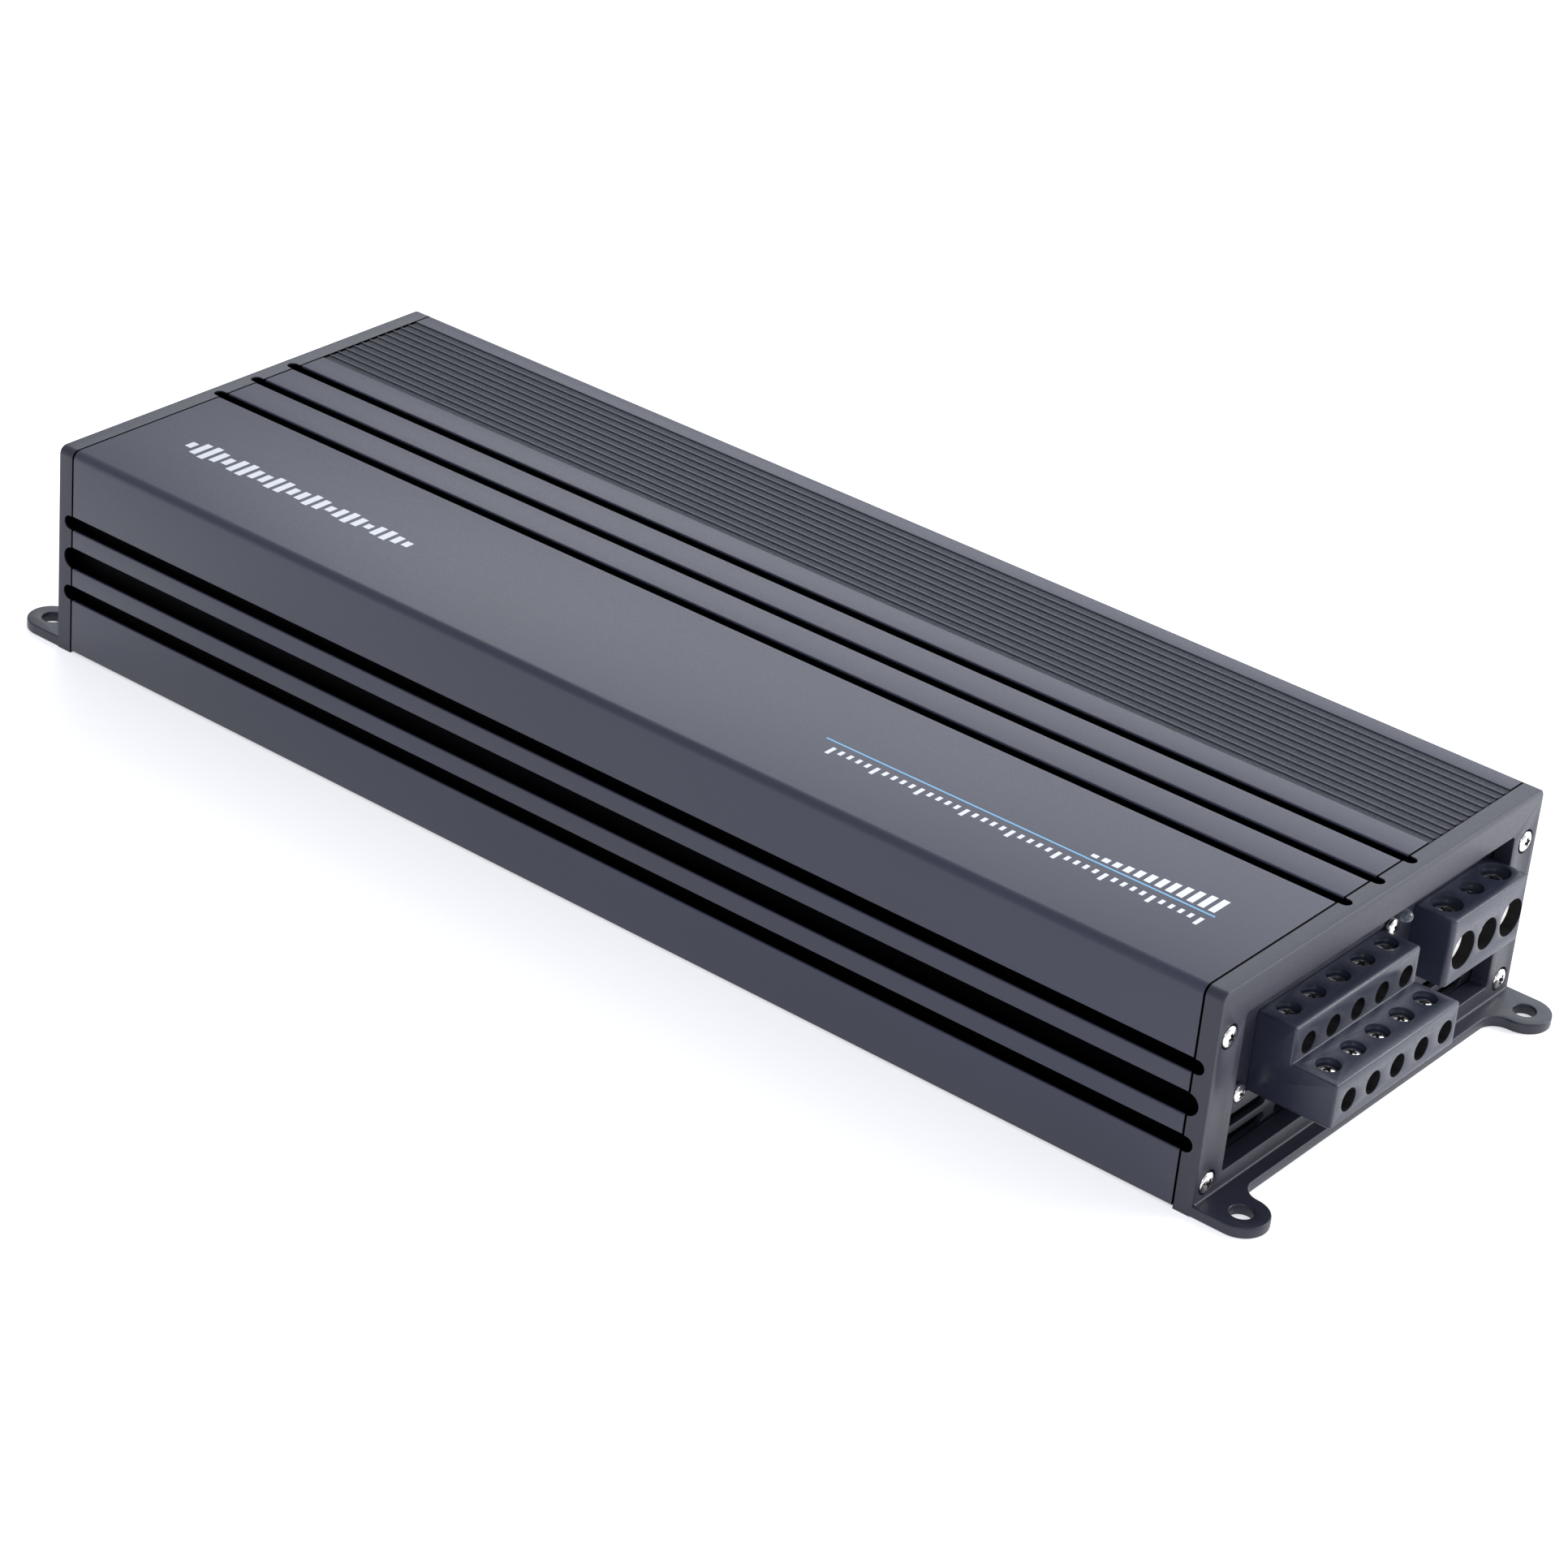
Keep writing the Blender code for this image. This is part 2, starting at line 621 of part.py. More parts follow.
def make_speaker_screws():
    for tier, front, crown in (("upper", SPK_UPPER_X, SPK_Z[2]), ("lower", SPK_LOWER_X, SPK_Z[1])):
        for number, y in enumerate(SPK_WAYS, start=1):
            name = f"speaker_screw_{tier}_{number}"
            head_top = crown - SPK_HEAD_DROP
            tip = head_top - SPK_WIRE_Z[tier] - 0.8
            profile = [(0, 0), (SPK_HEAD_R - 0.3, 0), (SPK_HEAD_R, -0.5), (SPK_HEAD_R, -1.3),
                       (SPK_SHANK_R, -1.3), (SPK_SHANK_R, -tip), (0, -tip)]
            screw = turned(name, profile, TINY_ROUND)
            centre = (front - SPK_SCREW_BACK, y, head_top)
            screw.location = [c * MM for c in centre]
            cross_recess(screw, 1.4, 0.8, centre)
            as_part(screw, name, nickel)


def make_side_screw(name, place, side, head_r, head_h, shank_r, shank):
    """Pan-head screw whose head faces +X (side 1) or -X (side -1)."""
    profile = [(0, head_h), (head_r * 0.6, head_h * 0.85), (head_r, head_h * 0.25),
               (head_r, 0), (shank_r, 0), (shank_r, -shank), (0, -shank)]
    screw = turned(name, profile, TINY_ROUND)
    screw.location = [c * MM for c in place]
    screw.rotation_euler = (0, side * math.pi / 2, 0)
    x, y, z = place
    tip = x + side * (head_h - 0.7)
    far = x + side * (head_h + 1)
    for dy, dz in ((1.3, 0.3), (0.3, 1.3)):
        boolean(screw, tool_box((min(tip, far), y - dy, z - dz), (max(tip, far), y + dy, z + dz)))
    as_part(screw, name, nickel)


def make_fixed_screws():
    for end, side in (("terminal", 1), ("control", -1)):
        for number, (y, z) in enumerate(FRAME_SCREWS, start=1):
            seat = side * (FACE_X - COUNTERBORE + GAP)
            make_side_screw(f"{end}_frame_screw_{number}", (seat, y, z), side,
                            FRAME_HEAD_R, FRAME_HEAD_H, FRAME_SHANK_R, 12)
    for number, (y, z) in enumerate(BLOCK_SCREWS, start=1):
        make_side_screw(f"block_screw_{number}", (PANEL_X + GAP, y, z), 1, 2.2, 1.5,
                        BLOCK_SCREW_R, 5)


# --- control end ----------------------------------------------------------------------
def knob_places():
    return [(y, z) for z in reversed(KNOB_ROWS) for y in KNOB_COLUMNS]


def make_knobs():
    for name, (y, z) in zip(KNOB_NAMES, knob_places()):
        profile = [(0, KNOB_LEN), (KNOB_R - 0.6, KNOB_LEN), (KNOB_R, 0), (KNOB_SHAFT_R, 0),
                   (KNOB_SHAFT_R, -KNOB_SHAFT), (0, -KNOB_SHAFT)]
        knob = turned(f"{name}_knob", profile, SMALL_ROUND)
        knob.location = [c * MM for c in (CTRL_FACE - KNOB_STANDOFF, y, z)]
        knob.rotation_euler = (0, -math.pi / 2, 0)
        front = CTRL_FACE - KNOB_STANDOFF - KNOB_LEN
        boolean(knob, tool_box((front - 1, y - 0.4, z + 0.8),
                               (front + 0.7, y + 0.4, z + KNOB_R + 1)))
        as_part(knob, f"{name}_knob", knob_plastic)


def make_switches():
    for name, z in SWITCHES:
        back = BODY_FRONT + 0.6
        lever = box((CTRL_FACE - LEVER_OUT, SWITCH_Y - LEVER_Y / 2, z - LEVER_Z / 2),
                    (back, SWITCH_Y + LEVER_Y / 2, z + LEVER_Z / 2))
        as_part(lever, f"{name}_slider", knob_plastic)


def make_control_board():
    """Upright board carrying the six potentiometers and three slide switches."""
    back = CONTROL_BOARD_X + BOARD_T
    board = box((CONTROL_BOARD_X, -39.8, LEG_Z), (back, 12.0, 44.0))
    for y, z in knob_places():
        shaft_end = CTRL_FACE - KNOB_STANDOFF + KNOB_SHAFT + GAP
        body = box((shaft_end, y - 4.8, z - 5.5), (CONTROL_BOARD_X + 0.5, y + 4.8, z + 5.5), tools)
        boolean(board, as_tool(body), "UNION")
    for _, z in SWITCHES:
        body = box((BODY_FRONT + 0.6 + GAP, SWITCH_Y - 5.2, z - 3.4),
                   (CONTROL_BOARD_X + 0.5, SWITCH_Y + 5.2, z + 3.4), tools)
        boolean(board, as_tool(body), "UNION")
    return as_part(board, "control_board", board_green)


def make_input_jacks():
    """Phono input block: one moulding with six sleeves through the panel."""
    block = box((BODY_FRONT, 13.4, LEG_Z), (CONTROL_BODY_BACK, 51.6, 41.0))
    for y in JACK_COLUMNS:
        for z in JACK_ROWS:
            start = (CTRL_FACE - JACK_OUT, y, z)
            sleeve = rod(start, JACK_R, BODY_FRONT - start[0] + 0.5, "X", SMALL_ROUND, tools)
            boolean(block, as_tool(sleeve), "UNION")
            boolean(block, tool_rod((start[0] - 1, y, z), JACK_BORE_R, 9.5, "X", TINY_ROUND))
    return as_part(block, "input_jack_block", block_plastic)


def make_remote_socket():
    y, z = SOCKET_YZ
    socket = box((CTRL_FACE - 0.4, y - SOCKET_W / 2, z - SOCKET_H / 2),
                 (CONTROL_BODY_BACK, y + SOCKET_W / 2, z + SOCKET_H / 2))
    foot = box((-156.0, y - SOCKET_W / 2, LEG_Z), (CONTROL_BODY_BACK, y + SOCKET_W / 2, z),
               tools)
    boolean(socket, as_tool(foot), "UNION")
    boolean(socket, tool_box((CTRL_FACE - 2, y - 4.9, z - 3.6), (-153.0, y + 4.9, z + 3.4)))
    return as_part(socket, "remote_level_socket", knob_plastic)


# --- inside ---------------------------------------------------------------------------
def make_transformer():
    ring = [(30, 26), (30, 0), (11, 0), (11, 26), (30, 26)]
    core = turned("power_transformer", ring, ROUND)
    core.location = (TRANSFORMER_X * MM, 0, (LEG_Z + 0.4) * MM)
    return as_part(core, "power_transformer", copper)


def make_capacitors():
    for number, x in enumerate(CAPACITOR_X, start=1):
        name = f"filter_capacitor_{number}"
        profile = [(0, 34), (10.4, 34), (11, 33), (11, 0), (0, 0)]
        can = turned(name, profile, SMALL_ROUND)
        can.location = (x * MM, 0, LEG_Z * MM)
        as_part(can, name, sleeve_blue)


def make_output_chokes():
    for number, y in enumerate(CHOKE_Y, start=1):
        name = f"output_choke_{number}"
        ring = [(11, 9), (11, 0), (4.5, 0), (4.5, 9), (11, 9)]
        choke = turned(name, ring, SMALL_ROUND)
        choke.location = (CHOKE_X * MM, y * MM, LEG_Z * MM)
        as_part(choke, name, copper)


def make_transistor_bars():
    """Row of power transistors pressed to each side wall by one clamp bar."""
    first = -TRANSISTOR_PITCH * (TRANSISTORS - 1) / 2
    for name, side in (("near", -1), ("far", 1)):
        wall = side * (INNER_Y - GAP)
        inner = wall - side * TRANSISTOR_T
        low_y, high_y = sorted((inner + side * 0.5, inner - side * CLAMP_T))
        bar = box((-CLAMP_HALF_LENGTH, low_y, CLAMP_Z[0]),
                  (CLAMP_HALF_LENGTH, high_y, CLAMP_Z[1]))
        near, far = sorted((wall, inner))
        for i in range(TRANSISTORS):
            x = first + TRANSISTOR_PITCH * i
            body = box((x - TRANSISTOR_HALF_W, near, TRANSISTOR_Z[0]),
                       (x + TRANSISTOR_HALF_W, far, TRANSISTOR_Z[1]), tools)
            boolean(bar, as_tool(body), "UNION")
        as_part(bar, f"transistor_clamp_{name}", steel)


def make_status_lamp():
    y, z = LAMP_YZ
    profile = [(0, 3.2), (0.8, 2.9), (1.3, 2.3), (LAMP_R, 1.5), (LAMP_R, -3.4), (0, -3.4)]
    lamp = turned("status_lamp", profile, TINY_ROUND)
    lamp.location = [c * MM for c in (PANEL_X, y, z)]
    lamp.rotation_euler = (0, math.pi / 2, 0)
    return as_part(lamp, "status_lamp", clear_plastic)


# --- build ----------------------------------------------------------------------------
clear_scene()
parts = new_collection(MODEL)
tools = new_collection(MODEL + "_cutters")

paint = make_material("satin_charcoal", (0.075, 0.08, 0.095), 0.45, 0.6)
panel_paint = make_material("matt_black_steel", (0.02, 0.02, 0.025), 0.55, 0.3)
block_plastic = make_material("blue_grey_plastic", (0.05, 0.056, 0.07), 0.4, 0.0)
nickel = make_material("bright_nickel", (0.78, 0.76, 0.72), 0.18, 1.0)
steel = make_material("zinc_steel", (0.4, 0.41, 0.42), 0.4, 0.9)
board_green = make_material("board_green", (0.02, 0.13, 0.06), 0.45, 0.0)
knob_plastic = make_material("black_plastic", (0.015, 0.015, 0.017), 0.4, 0.0)
copper = make_material("enamelled_copper", (0.45, 0.19, 0.08), 0.35, 0.8)
sleeve_blue = make_material("capacitor_sleeve", (0.03, 0.05, 0.11), 0.35, 0.0)
clear_plastic = make_material("clear_plastic", (0.8, 0.85, 0.9), 0.1, 0.0)

make_shell()
make_end_frame("terminal_end_frame", 1)
make_end_frame("control_end_frame", -1)
make_terminal_panel()
make_control_panel()
make_bottom_cover()
make_circuit_board()
make_speaker_block()
make_power_block()
for way_name, way_y, way_r in PWR_WAYS:
    make_power_clamp(way_name, way_y, way_r)
make_speaker_screws()
make_fixed_screws()
make_knobs()
make_switches()
make_control_board()
make_input_jacks()
make_remote_socket()
make_transformer()
make_capacitors()
make_output_chokes()
make_transistor_bars()
make_status_lamp()
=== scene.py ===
"""Looks of the car amplifier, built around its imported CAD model.

Lengths in this script are millimetres in the model's own frame; MM turns them into metres.
"""

import json
import math

import bmesh
import bpy
from mathutils import Matrix, Vector

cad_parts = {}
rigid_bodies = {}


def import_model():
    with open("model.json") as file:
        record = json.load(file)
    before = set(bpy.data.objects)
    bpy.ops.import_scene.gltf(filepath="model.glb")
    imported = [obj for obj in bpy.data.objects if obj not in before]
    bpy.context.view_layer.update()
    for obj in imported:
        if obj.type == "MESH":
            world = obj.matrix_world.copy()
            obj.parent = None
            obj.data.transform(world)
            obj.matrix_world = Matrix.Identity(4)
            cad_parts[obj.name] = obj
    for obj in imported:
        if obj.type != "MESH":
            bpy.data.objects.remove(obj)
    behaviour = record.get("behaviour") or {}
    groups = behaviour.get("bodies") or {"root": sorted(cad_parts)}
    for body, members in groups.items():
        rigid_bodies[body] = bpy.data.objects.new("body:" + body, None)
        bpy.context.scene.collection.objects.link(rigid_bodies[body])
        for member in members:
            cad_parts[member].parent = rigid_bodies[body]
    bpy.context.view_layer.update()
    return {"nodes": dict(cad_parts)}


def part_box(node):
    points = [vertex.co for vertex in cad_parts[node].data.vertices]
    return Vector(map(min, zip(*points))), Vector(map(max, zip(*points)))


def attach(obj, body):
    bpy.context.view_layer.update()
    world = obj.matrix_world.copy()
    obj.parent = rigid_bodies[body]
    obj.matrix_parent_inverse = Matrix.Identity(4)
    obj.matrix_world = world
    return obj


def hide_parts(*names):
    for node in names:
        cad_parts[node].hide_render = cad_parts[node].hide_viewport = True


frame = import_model()

MM = 0.001


# --- sizes read from the frame -------------------------------------------------------
def cad(node):
    """Lowest and highest corners of a CAD node, in millimetres."""
    low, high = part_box(node)
    return Vector(low) / MM, Vector(high) / MM


def middle(node):
    low, high = cad(node)
    return (low + high) / 2


SHELL_LOW, SHELL_HIGH = cad("heatsink_shell")
PANEL_LOW, PANEL_HIGH = cad("terminal_panel")

HALF_W = SHELL_HIGH.y
TOP_Z = SHELL_HIGH.z
SHELL_END = SHELL_HIGH.x
GAP = 0.3
FRAME_BACK = SHELL_END + GAP
FRAME_T = 4.5
FACE_X = FRAME_BACK + FRAME_T
WALL = 5.0
INNER_Y = HALF_W - WALL
CORNER_R = 2.1

# grooves and flutes
TOP_GROOVES = (-12.7, 0.0, 12.7)
TOP_GROOVE_W = 3.0
SIDE_GROOVES = ((34.8, 3.5), (25.6, 5.5), (16.2, 3.8))
GROOVE_DEPTH = 2.5
GROOVE_RUN = 2.5               # how far a groove runs into a frame
LIP = 0.3                      # rounding of groove lips and of the shell's lower edges
GROOVE_ROOT = 0.25
FLUTES = 12
FLUTE_PITCH = 2.86
FLUTE_W = 2.3
FLUTE_DEPTH = 0.3
FLUTE_ROUND = 0.12
FIRST_FLUTE = 23.2

# end frames
WINDOW_Y = 52.5
WINDOW_LOW = 6.6
WINDOW_HIGH = 45.1
WINDOW_R = 1.0
FLANGE_T = 2.6
FLANGE_OUT = 3.6
EAR_OUT = 8.2
EAR_IN = 6.2
EAR_R = 6.2
EAR_HOLE_R = 2.6
EAR_FILLET = 4.5
COUNTERBORE_R = 2.9
COUNTERBORE = 1.2
FACE_EDGE = 0.35               # rounding of a frame's outline and of its flange
WINDOW_EDGE = 0.25
FOOT_FILLET = 0.6
VENT_ROWS = (7.6, 12.6)
VENT_H = 3.0
VENT_COLUMNS = ((-49.0, -29.9), (-25.9, -2.0), (2.0, 25.9), (29.9, 49.0))

# terminal blocks
SPK_Y = (-39.0, 8.9)
SPK_Z = (18.1, 28.9, 37.5)
SPK_LOWER_X = cad("speaker_terminal_block")[1].x
SPK_UPPER_X = SPK_LOWER_X - 11.3
BLOCK_BACK = PANEL_LOW.x - 3.0
BLOCK_EDGE = 0.5
SPK_WAYS = tuple(-33.2 + 9.4 * i for i in range(5))
SPK_SCREW_BACK = 6.0
SPK_WIRE_R = {"upper": 2.55, "lower": 2.7}
SPK_WIRE_Z = {"upper": 31.8, "lower": 23.1}
SPK_WIRE_DEPTH = 10.0
SPK_WELL_R = 2.75
SPK_WELL_DROP = 2.7
SPK_SHANK_HOLE_R = 1.6
HOLE_RIM = 0.12                # softened mouth of a hole in a terminal block
PWR_Y = (21.4, 52.1)
PWR_Z = (21.6, 38.2)
PWR_X = cad("power_terminal_block")[1].x
PWR_SCREW_BACK = 5.8
PWR_WIRE_Z = 29.0
PWR_WIRE_DEPTH = 16.3
PWR_WELL_LEDGE = 0.9           # a screw well is this much narrower than its wire way
PWR_SHANK_HOLE_R = 2.05
BARREL_WALL = 0.5
BARREL_FLOOR = 1.5
PWR_WAYS = (("ground", 27.4, 4.5), ("remote", 37.3, 3.8), ("positive", 47.2, 4.5))
TIERS = (("upper", SPK_UPPER_X, SPK_Z[2]), ("lower", SPK_LOWER_X, SPK_Z[1]))
SPK_CAGE_BACK = {"upper": 2.7, "lower": 3.2}
SPK_CAGE_LENGTH = 6.0
SPK_CAGE_WALL = 0.35

# screws, as (head radius, head height, shank radius)
SPK_SCREW = (2.3, 1.3, 1.35)
FRAME_SCREW = (2.45, 1.5, 1.35)
BLOCK_SCREW = (2.2, 1.5, 1.2)
DRIVER_TURNS = (12, 55, 33, 71, 20, 62, 5, 48, 80, 27)    # degrees each recess is left at
HEAD_DOME = 0.45               # share of a head's height that is domed
LENS_DOME = 1.7

# control end
CTRL_FACE = cad("control_panel")[0].x
KNOB_R = 4.6
KNOB_LEN = 6.6
KNOB_RIBS = 18
SWITCH_Y = 6.5
SWITCH_TRAVEL = 2.0
LEVER_HALF = (1.5, 1.2)
JACK_COLUMNS = (19.5, 32.5, 45.5)
JACK_ROWS = (16.0, 34.0)
JACK_R = 4.15
JACK_FACE = CTRL_FACE - 8.6
JACK_BODY_FRONT = CTRL_FACE + 2.7
SOCKET_YZ = (-46.2, 16.0)
SOCKET_HALF = (6.0, 5.5)
SOCKET_DEPTH = 9.5
CONTACTS = 6
CONTACT_PITCH = 1.02
KNOBS = [f"{way}_{kind}_knob" for kind in ("level", "crossover") for way in ("front", "rear", "sub")]
SWITCHES = ("input_mode_switch", "rear_filter_switch", "front_filter_switch")

# underside
COVER_T = 1.5
COVER_SCREWS = [(x, y) for x in (-135.0, 0.0, 135.0) for y in (-47.0, 47.0)]

# printed graphics on the near part of the top, as (x0, x1, y0, y1)
METER = (-148.5, -75.5, -42.4, -34.6)
PINSTRIPE = (46.3, 148.6, -38.6, -38.1)
RAMP = (116.0, 148.6, -37.1, -31.4)
SCALE = (50.0, 149.0, -43.9, -40.6)

# sides of large and small round shapes
FINE = 48
MEDIUM = 32


# --- materials ------------------------------------------------------------------------
def srgb(r, g, b):
    """Linear colour from 0-255 display values."""
    def linear(v):
        v /= 255
        return v / 12.92 if v <= 0.04045 else ((v + 0.055) / 1.055) ** 2.4
    return (linear(r), linear(g), linear(b), 1.0)


class Nodes:
    """Short way to build one Principled material."""

    def __init__(self, name):
        self.mat = bpy.data.materials.new(name)
        self.mat.use_nodes = True
        self.tree = self.mat.node_tree
        self.shader = self.tree.nodes["Principled BSDF"]
        self.coords = self.add("ShaderNodeTexCoord")

    def add(self, kind, **settings):
        node = self.tree.nodes.new(kind)
        for key, value in settings.items():
            setattr(node, key, value)
        return node

    def link(self, a, b):
        self.tree.links.new(a, b)

    def noise(self, scale, detail=4.0, stretch=(1, 1, 1)):
        """Noise value over object space; scale is features per metre."""
        mapping = self.add("ShaderNodeMapping")
        mapping.inputs["Scale"].default_value = stretch
        self.link(self.coords.outputs["Object"], mapping.inputs["Vector"])
        tex = self.add("ShaderNodeTexNoise")
        tex.inputs["Scale"].default_value = scale
        tex.inputs["Detail"].default_value = detail
        self.link(mapping.outputs["Vector"], tex.inputs["Vector"])
        return tex.outputs["Fac"]

    def ramp(self, value, low=0.0, high=1.0):
        """Map 0.3-0.7 of a noise value to low-high numbers."""
        node = self.add("ShaderNodeMapRange")
        node.inputs["From Min"].default_value = 0.3
        node.inputs["From Max"].default_value = 0.7
        node.inputs["To Min"].default_value = low
        node.inputs["To Max"].default_value = high
        self.link(value, node.inputs["Value"])
        return node.outputs["Result"]

    def blend(self, fac, a, b):
        node = self.add("ShaderNodeMix", data_type="RGBA")
        for socket, value in (("A", a), ("B", b)):
            target = [s for s in node.inputs if s.name == socket and s.type == "RGBA"][0]
            if isinstance(value, tuple):
                target.default_value = value
            else:
                self.link(value, target)
        factor = node.inputs[0]
        if isinstance(fac, float):
            factor.default_value = fac
        else:
            self.link(fac, factor)
        return [s for s in node.outputs if s.type == "RGBA"][0]

    def bump(self, height, strength, distance):
        node = self.add("ShaderNodeBump")
        node.inputs["Strength"].default_value = strength
        node.inputs["Distance"].default_value = distance
        self.link(height, node.inputs["Height"])
        return node.outputs["Normal"]

    def set(self, socket, value):
        if hasattr(value, "is_linked") or hasattr(value, "links"):
            self.link(value, self.shader.inputs[socket])
        else:
            self.shader.inputs[socket].default_value = value


def surface(name, dark, light, rough, metallic=0.0, grain=900.0, bump=0.2, depth=0.00003,
            specular=0.5, mottle=12.0, stretch=(1, 1, 1)):
    """General finish: slow drift between two display colours, fine grain in roughness and relief."""
    n = Nodes(name)
    drift = n.noise(mottle, 2.0)
    fine = n.noise(grain, 3.0, stretch)
    n.set("Base Color", n.blend(n.ramp(drift), srgb(*dark), srgb(*light)))
    n.set("Roughness", n.ramp(fine, rough[0], rough[1]))
    n.set("Metallic", metallic)
    n.set("Specular IOR Level", specular)
    n.set("Normal", n.bump(fine, bump, depth))
    return n


def simple(*args, **kwargs):
    return surface(*args, **kwargs).mat


def glow(mat, colour, strength):
    """Let a material give off a little light of its own."""
    shader = mat.node_tree.nodes["Principled BSDF"]
    shader.inputs["Emission Color"].default_value = colour
    shader.inputs["Emission Strength"].default_value = strength


COAT_GRAIN = 2600.0            # features per metre in the cast and extruded finish

CHARCOAL_DARK = srgb(42, 45, 60)
CHARCOAL_LIGHT = srgb(46, 49, 65)
FRAME_DARK = srgb(31, 33, 46)
FRAME_LIGHT = srgb(35, 37, 51)
# painted shade: near-black put in the grooves, the groove ends and the seams at the frames, where
# shade falls
PAINTED_SHADE_BLACK = srgb(3, 3, 5)
FLUTE_DARK = srgb(26, 27, 33)
FLUTE_LIGHT = srgb(50, 53, 63)
PRINT_WHITE = srgb(226, 229, 232)
PRINT_BLUE = srgb(112, 178, 222)
panel_black = simple("panel_black", (32, 33, 44), (37, 38, 50), (0.42, 0.55),
                     grain=2200.0, bump=0.4)
cover_black = simple("cover_black", (30, 30, 33), (37, 37, 41), (0.5, 0.62),
                     grain=1500.0, bump=0.5)
block_plastic = simple("block_plastic", (38, 42, 56), (46, 50, 65), (0.3, 0.42),
                       grain=1300.0, bump=0.45, depth=0.00004, mottle=60.0)
nickel = simple("bright_nickel", (222, 219, 215), (238, 236, 233), (0.14, 0.24),
                metallic=1.0, grain=700.0, bump=0.08, mottle=300.0)
barrel_plate_painted_glow = simple("plated_barrel", (248, 246, 240), (253, 252, 248), (0.25, 0.35),
                      metallic=0.2, grain=900.0, bump=0.15, mottle=200.0)
# painted light: the plating glows faintly though it is no lamp, standing in for light caught inside
# the barrels and speaker cages
glow(barrel_plate_painted_glow, (1, 0.98, 0.95, 1), 0.3)
# painted shade: dark colour for the cross recess of the nickel screws, where shade falls
recess_painted_shade = simple("screw_recess", (34, 31, 30), (48, 44, 42), (0.5, 0.65),
                     metallic=0.3, grain=900.0, bump=0.1, mottle=300.0)
# painted shade: near-black lining for the walls of the wire holes, standing in for the shade inside
# them
bore_black = simple("bore_black", (3, 3, 5), (6, 6, 9), (0.5, 0.65),
                    grain=900.0, bump=0.3, specular=0.2, mottle=100.0)
gold = simple("gold_contact", (206, 164, 84), (222, 184, 104), (0.18, 0.3),
              metallic=1.0, grain=800.0, bump=0.1, mottle=300.0)
knob_plastic = simple("knob_plastic", (20, 20, 22), (27, 27, 30), (0.34, 0.48),
                      grain=1500.0, bump=0.3, mottle=80.0)
gloss_black = simple("gloss_black", (14, 14, 16), (19, 19, 21), (0.2, 0.3),
                     grain=900.0, bump=0.1, mottle=80.0)
white_print = simple("white_print", (214, 216, 218), (226, 228, 230), (0.5, 0.6),
                     grain=2000.0, bump=0.2, mottle=200.0)
jack_red = simple("jack_red", (150, 22, 26), (168, 30, 32), (0.3, 0.42),
                  grain=1200.0, bump=0.2, mottle=100.0)
jack_white = simple("jack_white", (205, 203, 196), (218, 216, 210), (0.3, 0.42),
                    grain=1200.0, bump=0.2, mottle=100.0)
zinc = simple("zinc_steel", (140, 142, 146), (164, 166, 170), (0.3, 0.45),
              metallic=1.0, grain=500.0, bump=0.2, mottle=90.0)
board_green = simple("board_green", (8, 26, 18), (12, 34, 24), (0.4, 0.55),
                     grain=1200.0, bump=0.3, mottle=60.0)
winding = simple("copper_winding", (150, 78, 36), (186, 104, 52), (0.28, 0.42),
                 metallic=0.8, grain=900.0, bump=0.8, depth=0.0002, mottle=60.0,
                 stretch=(1, 1, 0.1))
sleeve = simple("capacitor_sleeve", (14, 20, 40), (18, 26, 50), (0.25, 0.35),
                grain=800.0, bump=0.15, mottle=40.0)
clear = surface("clear_lens", (150, 158, 166), (190, 198, 205), (0.05, 0.1),
                grain=400.0, bump=0.02, mottle=300.0)
clear.set("Transmission Weight", 0.8)
clear.set("IOR", 1.5)
lens = clear.mat
floor_paint = simple("floor_paint", (244, 244, 245), (248, 248, 249), (0.55, 0.65),
                     grain=300.0, bump=0.02, mottle=3.0)
glow(floor_paint, (1, 1, 1, 1), 0.5)


# --- mesh helpers ---------------------------------------------------------------------
def add_object(name, mesh):
    obj = bpy.data.objects.new(name, mesh)
    bpy.context.scene.collection.objects.link(obj)
    return obj


def from_bmesh(bm, name):
    """Object in metres from a bmesh in millimetres."""
    bmesh.ops.scale(bm, vec=(MM, MM, MM), verts=bm.verts)
    mesh = bpy.data.meshes.new(name)
    bm.to_mesh(mesh)
    bm.free()
    return add_object(name, mesh)


def bake(obj):
    """Replace an object's mesh by its evaluated one, with modifiers applied."""
    bpy.context.view_layer.update()
    graph = bpy.context.evaluated_depsgraph_get()
    mesh = bpy.data.meshes.new_from_object(obj.evaluated_get(graph))
    if obj.type == "MESH":
        obj.modifiers.clear()
        obj.data = mesh
        return obj
    done = add_object(obj.name, mesh)
    done.matrix_world = obj.matrix_world
    bpy.data.objects.remove(obj)
    return done


def shade(obj, angle=32):
    obj.data.shade_smooth()
    obj.data.set_sharp_from_angle(angle=math.radians(angle))


def piece(obj, name, mat, body="root", node=None, angle=32):
    """Finish a visible piece: name, material, riding body, and the CAD node it stands for."""
    obj.name = name
    obj.data.name = name
    obj.data.materials.clear()
    obj.data.materials.append(mat)
    shade(obj, angle)
    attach(obj, body)
    if node:
        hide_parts(node)
    return obj


def combine(target, others, operation):
    """Boolean every object of others with target, and remove them."""
    group = bpy.data.collections.new("operands")
    bpy.context.scene.collection.children.link(group)
    for other in others:
        for home in list(other.users_collection):
            home.objects.unlink(other)
        group.objects.link(other)
    mod = target.modifiers.new("Boolean", "BOOLEAN")
    mod.operation = operation
    mod.solver = "EXACT"
    mod.operand_type = "COLLECTION"
    mod.collection = group
    bake(target)
    for other in list(group.objects):
        bpy.data.objects.remove(other)
    bpy.data.collections.remove(group)
    return target


def cut(target, tools):
    return combine(target, tools, "DIFFERENCE")


